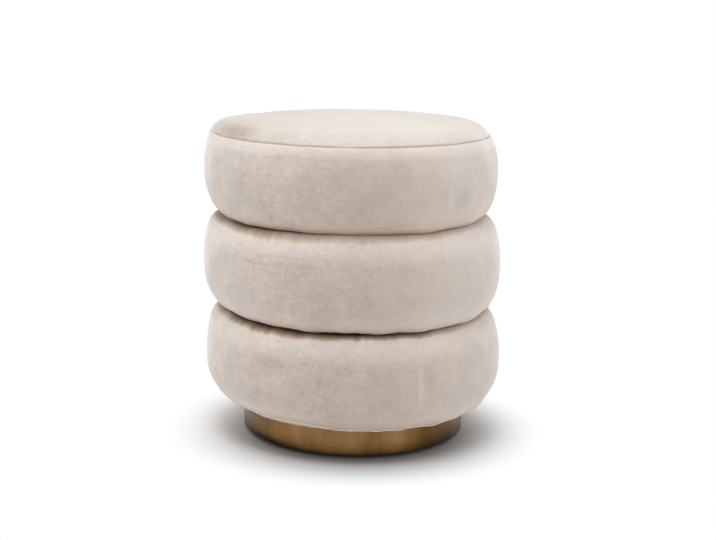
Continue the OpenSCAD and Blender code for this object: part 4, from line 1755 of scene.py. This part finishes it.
@dataclass
class Plinth:
    """The plinth: a brass-finished hoop round two boards, a dust cover and glides.

    The reflection bands are rows of an angle and a width in degrees and a tone: painted reflections
    on the hoop. Feet are rows of an angle in degrees and how dark the hoop's foot is painted there,
    a painted reflection of the floor's shade.
    """

    low: float = 5.5 * MM
    high: float = 37.5 * MM
    radius: float = 140 * MM
    sheet: float = 1.0 * MM
    gap: float = 0.4 * MM
    edge: float = 0.3 * MM
    steps: int = 288
    reflection_bands: Table = (
        (-119, 8, 0.25), (-101, 6, -0.1), (-89, 5, 0.3), (-77, 4, -0.35), (-67, 4.5, 0.3),
        (-52, 6, -0.7), (-39, 11, -1.6), (-168, 8, 0.2), (-15, 12, -0.9), (60, 12, 0.3),
        (110, 10, -0.2), (150, 12, 0.3))
    feet: Table = (
        (-175, 1.5), (-140, 1.2), (-125, 0.85), (-100, 0.5), (-60, 0.5), (-40, 0.7), (-10, 1.1),
        (90, 0.5))
    dust_r: float = 132 * MM
    dust_z: float = 5.0 * MM
    dust_t: float = 0.5 * MM
    dust_around: int = 180
    sag: float = 1.1 * MM
    sag_r: Range = (0.02, 0.105)
    pucker: float = 0.15 * MM
    pucker_r: Range = (0.09, 0.105)
    staples: int = 30
    staple_w: float = 9 * MM
    staple_leg: float = 1.4 * MM
    staple_r: float = 0.35 * MM
    staple_sides: int = 6
    staples_at: float = 130.4 * MM

    def hoop_outline(self) -> np.ndarray:
        """The section of the hoop's strip.

        Returns:
            Its corners as radius and height, each rounded by three points.
        """
        corner = np.radians([0, 45, 90])
        section = []
        for out, up, first in ((1, -1, -90), (1, 1, 0), (-1, 1, 90), (-1, -1, 180)):
            turn = corner + math.radians(first)
            centre_r = self.radius - self.sheet / 2 + out * (self.sheet / 2 - self.edge)
            centre_z = (self.high if up > 0 else self.low) - up * self.edge
            section.append(np.stack([centre_r + self.edge * np.cos(turn),
                                     centre_z + self.edge * np.sin(turn)], axis=1))
        return np.concatenate(section)

    def build_hoop(self, finishes: Finishes) -> None:
        """Makes the hoop, bent from one strip with its ends butted at the back.

        Args:
            finishes: The pouf's finishes.
        """
        outline = self.hoop_outline()
        slit = self.gap / self.radius / 2
        turns = math.pi / 2 + span(slit, TAU - slit, self.steps)
        made = bmesh.new()
        rings = [[made.verts.new((r * math.cos(turn), r * math.sin(turn), z)) for r, z in outline]
                 for turn in turns]
        for first, second in zip(rings, rings[1:]):
            for k, after in enumerate((*range(1, len(outline)), 0)):
                made.faces.new((first[k], second[k], second[after], first[after]))
        made.faces.new(rings[0])
        made.faces.new(rings[-1][::-1])
        mesh = mesh_of("plinth_brass_hoop", made)
        smooth(mesh)
        around = np.repeat(turns, len(outline))
        # Painted reflection bands, and the painted reflection of the floor's shade at the foot.
        tone = sum(strength * bell(gap_to(around, angle), 0, math.radians(width))
                   for angle, width, strength in self.reflection_bands)
        store_values(mesh, {"tone": tone, "foot": around_value(around, self.feet, 1)})
        settle_piece(linked("plinth_brass_hoop", mesh), finishes.brass, "brass_finish",
                     "plinth_hoop")

    def build_dust_cover(self, finishes: Finishes) -> None:
        """Makes the dust cover, which sags a little inside its folded and stapled edge.

        Args:
            finishes: The pouf's finishes.
        """
        angles = np.arange(self.dust_around) * TAU / self.dust_around
        radius = np.concatenate([span(0.003, 0.108, 34), span(0.112, self.dust_r, 8)])
        waves = Waves(71, 24, (2, 9), (4, 16)).at(angles, radius)
        hang = self.sag * (1 - ease(radius, *self.sag_r))[:, None]
        drop = hang * (0.75 + 0.25 * waves)
        drop += self.pucker * np.abs(waves) * (1 - ease(radius, *self.pucker_r))[:, None]
        under, over = (on_rings(radius[:, None], angles, low - drop)
                       for low in (self.dust_z, self.dust_z + self.dust_t))
        cloth = turned_mesh("dust_cloth", np.concatenate([under, over[::-1]]), Ends.CAPPED)
        settle_piece(cloth, finishes.dust_cloth, "dust_cloth", "dust_cover")

    def add_staple(self, made: bmesh.types.BMesh, place: Matrix) -> None:
        """Adds one bent wire.

        Args:
            made: The staples so far.
            place: Where it sits.
        """
        half, leg, sides = self.staple_w / 2, self.staple_leg, self.staple_sides
        upright, level, across = Vector((0, 0, 1)), Vector((0, 1, 0)), Vector((1, 0, 0))
        path = (((0, -half, leg), upright), ((0, -half, 0), level), ((0, half, 0), level),
                ((0, half, leg), upright))
        previous: list[bmesh.types.BMVert] = []
        for point, along in path:
            side = along.cross(across)
            loop = [made.verts.new(place @ (
                Vector(point) + across * self.staple_r * math.cos(turn)
                + side * self.staple_r * math.sin(turn))) for turn in span(0, TAU, sides + 1)[:-1]]
            if not previous:
                made.faces.new(loop)
            for k in range(sides if previous else 0):
                after = (k + 1) % sides
                made.faces.new((previous[k], previous[after], loop[after], loop[k]))
            previous = loop
        made.faces.new(previous)

    def build_staples(self, finishes: Finishes) -> None:
        """Makes the staples along the edge of the dust cover.

        Args:
            finishes: The pouf's finishes.
        """
        made = bmesh.new()
        move = Matrix.Translation((self.staples_at, 0, self.dust_z - self.staple_r))
        for number in range(self.staples):
            spin = Matrix.Rotation(TAU * (number + 0.5) / self.staples, 4, "Z")
            self.add_staple(made, spin @ move)
        staples = linked("dust_cover_staples", mesh_of("dust_cover_staples", made))
        settle_piece(staples, finishes.zinc, "zinc_steel")

    def build(self, finishes: Finishes) -> None:
        """Makes the plinth's pieces and dresses its boards and glides.

        Args:
            finishes: The pouf's finishes.
        """
        self.build_hoop(finishes)
        self.build_dust_cover(finishes)
        self.build_staples(finishes)
        for node, material in (("plinth_upper_board", finishes.fibreboard),
                               ("plinth_lower_board", finishes.fibreboard),
                               ("glides", finishes.nylon)):
            dress_solid(node, material)


@dataclass
class Studio:
    """The white studio: camera, lamp, sky and floor."""

    focal_px: float = 1485.0
    picture_w: int = 716
    sensor: float = 36.0
    far: float = 50
    stand: Triple = (0.0032, -1.8479, 0.5766)
    pitch: float = 0.1986
    roll: float = 0.018
    lamp_at: Triple = (-0.2, -0.75, 2.1)
    lamp_aim: Triple = (0, 0, 0.3)
    lamp_size: Range = (0.8, 0.7)
    lamp_power: float = 14
    sky: float = 0.84
    floor_half: float = 6.0
    floor_colour: float = 0.88
    # The floor's colour seen by the camera is painted darker near the pouf, by direction and at the
    # contact: painted shadow on top of the rendered one.
    floor_seen: float = 0.60
    shade_r: Range = (0.150, 0.248)
    shade_turn: Triple = (1.26, -0.12, 0.46)
    shade_tones: Range = (0.75, 1.4)
    contact: float = 0.45
    contact_r: Range = (0.141, 0.160)

    def build_camera(self) -> None:
        """Sets the camera at the picture's viewing angle."""
        data = bpy.data.cameras.new("camera")
        data.sensor_fit = "HORIZONTAL"
        data.sensor_width = self.sensor
        data.lens = self.focal_px / self.picture_w * self.sensor
        data.clip_end = self.far
        camera = linked("camera", data)
        camera.matrix_world = (Matrix.Translation(self.stand)
                               @ Matrix.Rotation(math.pi / 2 - self.pitch, 4, "X")
                               @ Matrix.Rotation(self.roll, 4, "Z"))
        bpy.context.scene.camera = camera

    def build_lamp(self) -> None:
        """Hangs the soft rectangular lamp."""
        data = bpy.data.lights.new("key", "AREA")
        data.shape = "RECTANGLE"
        data.size, data.size_y = self.lamp_size
        data.energy = self.lamp_power
        lamp = linked("key", data)
        lamp.location = self.lamp_at
        turn = (Vector(self.lamp_aim) - Vector(self.lamp_at)).to_track_quat("-Z", "Y")
        lamp.rotation_euler = turn.to_euler()

    def build_sky(self) -> None:
        """Sets a white background that lights the pouf softly."""
        world = bpy.data.worlds.new("studio_sky")
        bpy.context.scene.world = world
        sky = Recipe(world)
        lit = sky.node("Background", {0: WHITE, 1: self.sky})
        white = sky.node("Background", {0: WHITE, 1: 1.0})
        mix = sky.node("MixShader", {0: sky.seen(), 1: lit.outputs[0], 2: white.outputs[0]})
        sky.node("OutputWorld", {0: mix.outputs[0]})

    def floor_material(self) -> bpy.types.Material:
        """Makes the floor's material, with a painted shadow that deepens the pouf's shade near it.

        Returns:
            The material, which the camera sees fade to white.
        """
        mat = Recipe(bpy.data.materials.new("studio_floor"))
        x, y, _ = mat.axes()
        square = mat.math("ADD", mat.math("POWER", x, 2.0), mat.math("POWER", y, 2.0))
        away = mat.math("SQRT", square)
        rise = mat.node("MapRange", {0: away, 1: self.shade_r[0], 2: self.shade_r[1]},
                        interpolation_type="SMOOTHSTEP")
        share = mat.math("MULTIPLY", rise.outputs[0], mat.seen())
        # Painted shadow: darker towards the front and the right.
        level, by_x, by_y = self.shade_turn
        front = mat.math("DIVIDE", y, away)
        turn = mat.math("MULTIPLY", mat.math("DIVIDE", x, away), by_x)
        turn = mat.math("ADD", turn, mat.math("MULTIPLY", front, by_y))
        tone = mat.spread(mat.math("ADD", turn, level), *self.shade_tones, *self.shade_tones)
        # Painted contact shadow in front of the foot.
        near = mat.math("MULTIPLY", mat.spread(away, *self.contact_r, self.contact, 0.0),
                        mat.spread(front, -1.0, 0.0, 1.0, 0.0))
        tone = mat.math("MULTIPLY", tone, mat.math("SUBTRACT", 1.0, near))
        direct = mat.node("LightPath").outputs["Is Camera Ray"]
        seen = mat.math("MULTIPLY", mat.math("MULTIPLY", tone, self.floor_seen), direct)
        hidden = mat.spread(direct, 0.0, 1.0, self.floor_colour, 0.0)
        matt = mat.node("BsdfDiffuse", {0: mat.math("ADD", seen, hidden)})
        white = mat.node("Emission", {0: WHITE, 1: 1.0})
        blend = mat.node("MixShader", {0: share, 1: matt.outputs[0], 2: white.outputs[0]})
        mat.node("OutputMaterial", {0: blend.outputs[0]})
        return mat.owner

    def build_floor(self) -> None:
        """Lays the floor, which keeps the pouf's shadow and fades to white away from it."""
        half = self.floor_half
        mesh = bpy.data.meshes.new("studio_floor")
        mesh.from_pydata([(-half, -half, 0), (half, -half, 0), (half, half, 0), (-half, half, 0)],
                         [], [(0, 1, 2, 3)])
        mesh.materials.append(self.floor_material())
        linked("studio_floor", mesh)

    def build(self) -> None:
        """Sets up the whole studio."""
        bpy.context.scene.view_settings.view_transform = "Standard"
        self.build_camera()
        self.build_sky()
        self.build_floor()
        self.build_lamp()


def wrinkles(*rows: Sequence[float]) -> list[Wrinkle]:
    """Wrinkles from rows of angle, height, length and depth in millimetres, and slant."""
    return [Wrinkle(angle, height, length * MM, depth * MM, slant)
            for angle, height, length, depth, slant in rows]


def soft_spots(*rows: Sequence[float]) -> list[SoftSpot]:
    """Marks from rows of angle, radius, height, width and height in millimetres, and tone."""
    return [SoftSpot(angle, radius, height, width * MM, tall * MM, tone)
            for angle, radius, height, width, tall, tone in rows]


def seat_tier() -> SeatUpholstery:
    """The seat tier, placed by the frame's own boxes, with the marks of its velvet.

    Returns:
        Its upholstery, ready to build.
    """
    low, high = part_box("seat_side_band")
    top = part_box("seat_top_panel")[1][2] - 5 * MM
    shape = TierShape(Tier.SEAT, low[2], top, high[0], 28 * MM, 56 * MM, 34 * MM, 52.5 * MM, 11,
                      wrinkles((-112, 0.3655, 110, 0.30, 0.0), (-66, 0.3690, 70, 0.20, 0.0)))
    # Brush marks of the pile, and patches of painted light and shade.
    marks = soft_spots(
        (-157, 0.162, 0.390, 48, 12, -1.1), (-138, 0.160, 0.391, 34, 9, -0.45),
        (-113, 0.183, 0.354, 52, 9, 0.6), (148, 0.130, 0.397, 65, 30, -0.6),
        (-50, 0.110, 0.397, 85, 30, 0.4), (-90, 0.168, 0.388, 90, 7, 0.1),
        (-122, 0.175, 0.2935, 4, 6, -1.1), (-113, 0.174, 0.2910, 5, 4, -0.6),
        (-136, 0.183, 0.330, 14, 14, -0.4), (-124, 0.181, 0.312, 16, 9, -0.35),
        (-43, 0.181, 0.316, 12, 14, -0.4), (-50, 0.181, 0.318, 3.5, 15, 0.5),
        (-36, 0.182, 0.318, 3.5, 15, 0.4))
    return SeatUpholstery(
        shape, marks, shoulder_tones=(-0.15, 0.95), side_tones=(0.5, 0.95),
        lip=(1.5 * MM, 3.5 * MM), lip_shade_in=(2 * MM, 4 * MM), warm_low=0.7,
        warm_h=(6 * MM, 32 * MM))


def middle_tier() -> Upholstery:
    """The middle tier, placed by the frame's own box, with the marks of its velvet.

    Returns:
        Its upholstery, ready to build.
    """
    low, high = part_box("middle_cover")
    shape = TierShape(
        Tier.MIDDLE, low[2], high[2], high[0], 28 * MM, 56 * MM, 18 * MM, 52.5 * MM, 23,
        wrinkles(
            (-118, 0.2500, 60, 0.36, 0.03), (-111, 0.2425, 80, 0.34, -0.04),
            (-128, 0.2390, 44, 0.30, 0.05), (-122, 0.2320, 56, 0.36, -0.10),
            (-113, 0.2245, 66, 0.32, -0.05), (-122, 0.2150, 44, 0.30, -0.12),
            (-106, 0.2330, 40, 0.26, 0.06)))
    # Brush marks of the pile, and patches of painted light and shade.
    marks = soft_spots(
        (-108, 0.186, 0.266, 30, 7, 0.25), (-159, 0.186, 0.222, 12, 22, -0.3),
        (-120, 0.186, 0.235, 24, 14, 0.12))
    shades = (
        (-178, 6, 0.30, 0.6), (-154, 9, 0.46, 0.5), (-143, 11.5, 0.60, 0.9), (-123, 14.5, 0.68, 1),
        (-113, 13.5, 0.51, 0.4), (-104, 13.5, 0.45, 0.1), (-90, 13, 0.43, 0.0),
        (-77, 12.5, 0.46, 0.0), (-69, 12, 0.44, 0.0), (-55, 11.5, 0.37, 0.0), (-41, 8, 0.26, 0.0),
        (-29, 5, 0.12, 0.0), (-16, 5, 0.08, 0.0), (90, 10, 0.50, 0.8))
    return Upholstery(shape, marks, shades, edge_at=8 * MM, warm_low=0.9,
                      warm_h=(4 * MM, 16 * MM), side_tones=(0.5, 0.8))


def bottom_tier() -> Upholstery:
    """The bottom tier, placed by the frame's own box, with the marks of its velvet.

    Returns:
        Its upholstery, ready to build.
    """
    low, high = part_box("bottom_cover")
    shape = TierShape(
        Tier.BOTTOM, low[2], high[2], high[0], 44 * MM, 59 * MM, 18 * MM, 54.5 * MM, 37,
        wrinkles((-92, 0.0535, 120, 0.30, 0.0), (-122, 0.1180, 34, 0.25, 0.1)))
    # Brush marks of the pile, and patches of painted light and shade.
    marks = soft_spots(
        (-60.3, 0.186, 0.103, 4.5, 18, -0.4), (-64.2, 0.186, 0.100, 3.2, 30, 0.55),
        (-38, 0.183, 0.138, 16, 7, -0.35), (-120, 0.186, 0.124, 20, 9, -0.4),
        (-143, 0.186, 0.098, 14, 14, -0.2))
    shades = (
        (-178, 6, 0.30, 0.6), (-154, 9, 0.46, 0.5), (-143, 10, 0.70, 0.85),
        (-133, 11.5, 0.85, 0.9), (-123, 13, 0.98, 1), (-113, 12, 0.95, 1), (-104, 10.5, 0.93, 1),
        (-90, 8.8, 0.90, 1), (-77, 9, 0.86, 1), (-67, 8.5, 0.78, 0.85), (-55, 8.5, 0.54, 0.4),
        (-41, 8, 0.36, 0.2), (-29, 5.5, 0.18, 0.0), (-16, 5, 0.10, 0.0), (90, 9, 0.60, 0.9))
    return Upholstery(shape, marks, shades, under_tone=0.1, edge_tone=1.8, edge_at=15 * MM,
                      hem_tone=-0.95, hem_shade=0.16, warm_low=1.0, warm_h=(6 * MM, 28 * MM),
                      side_tones=(0.5, 0.5))


def main() -> None:
    """Builds the pouf's pieces in order, and then the studio."""
    logging.basicConfig(level=logging.INFO, format="%(name)s %(message)s")
    finishes = Finishes()
    bench = ClothBench()
    for tier in (seat_tier(), middle_tier(), bottom_tier()):
        tier.build(finishes, bench)
    Drums().build(finishes)
    Plinth().build(finishes)
    Studio().build()


if __name__ == "__main__":
    main()
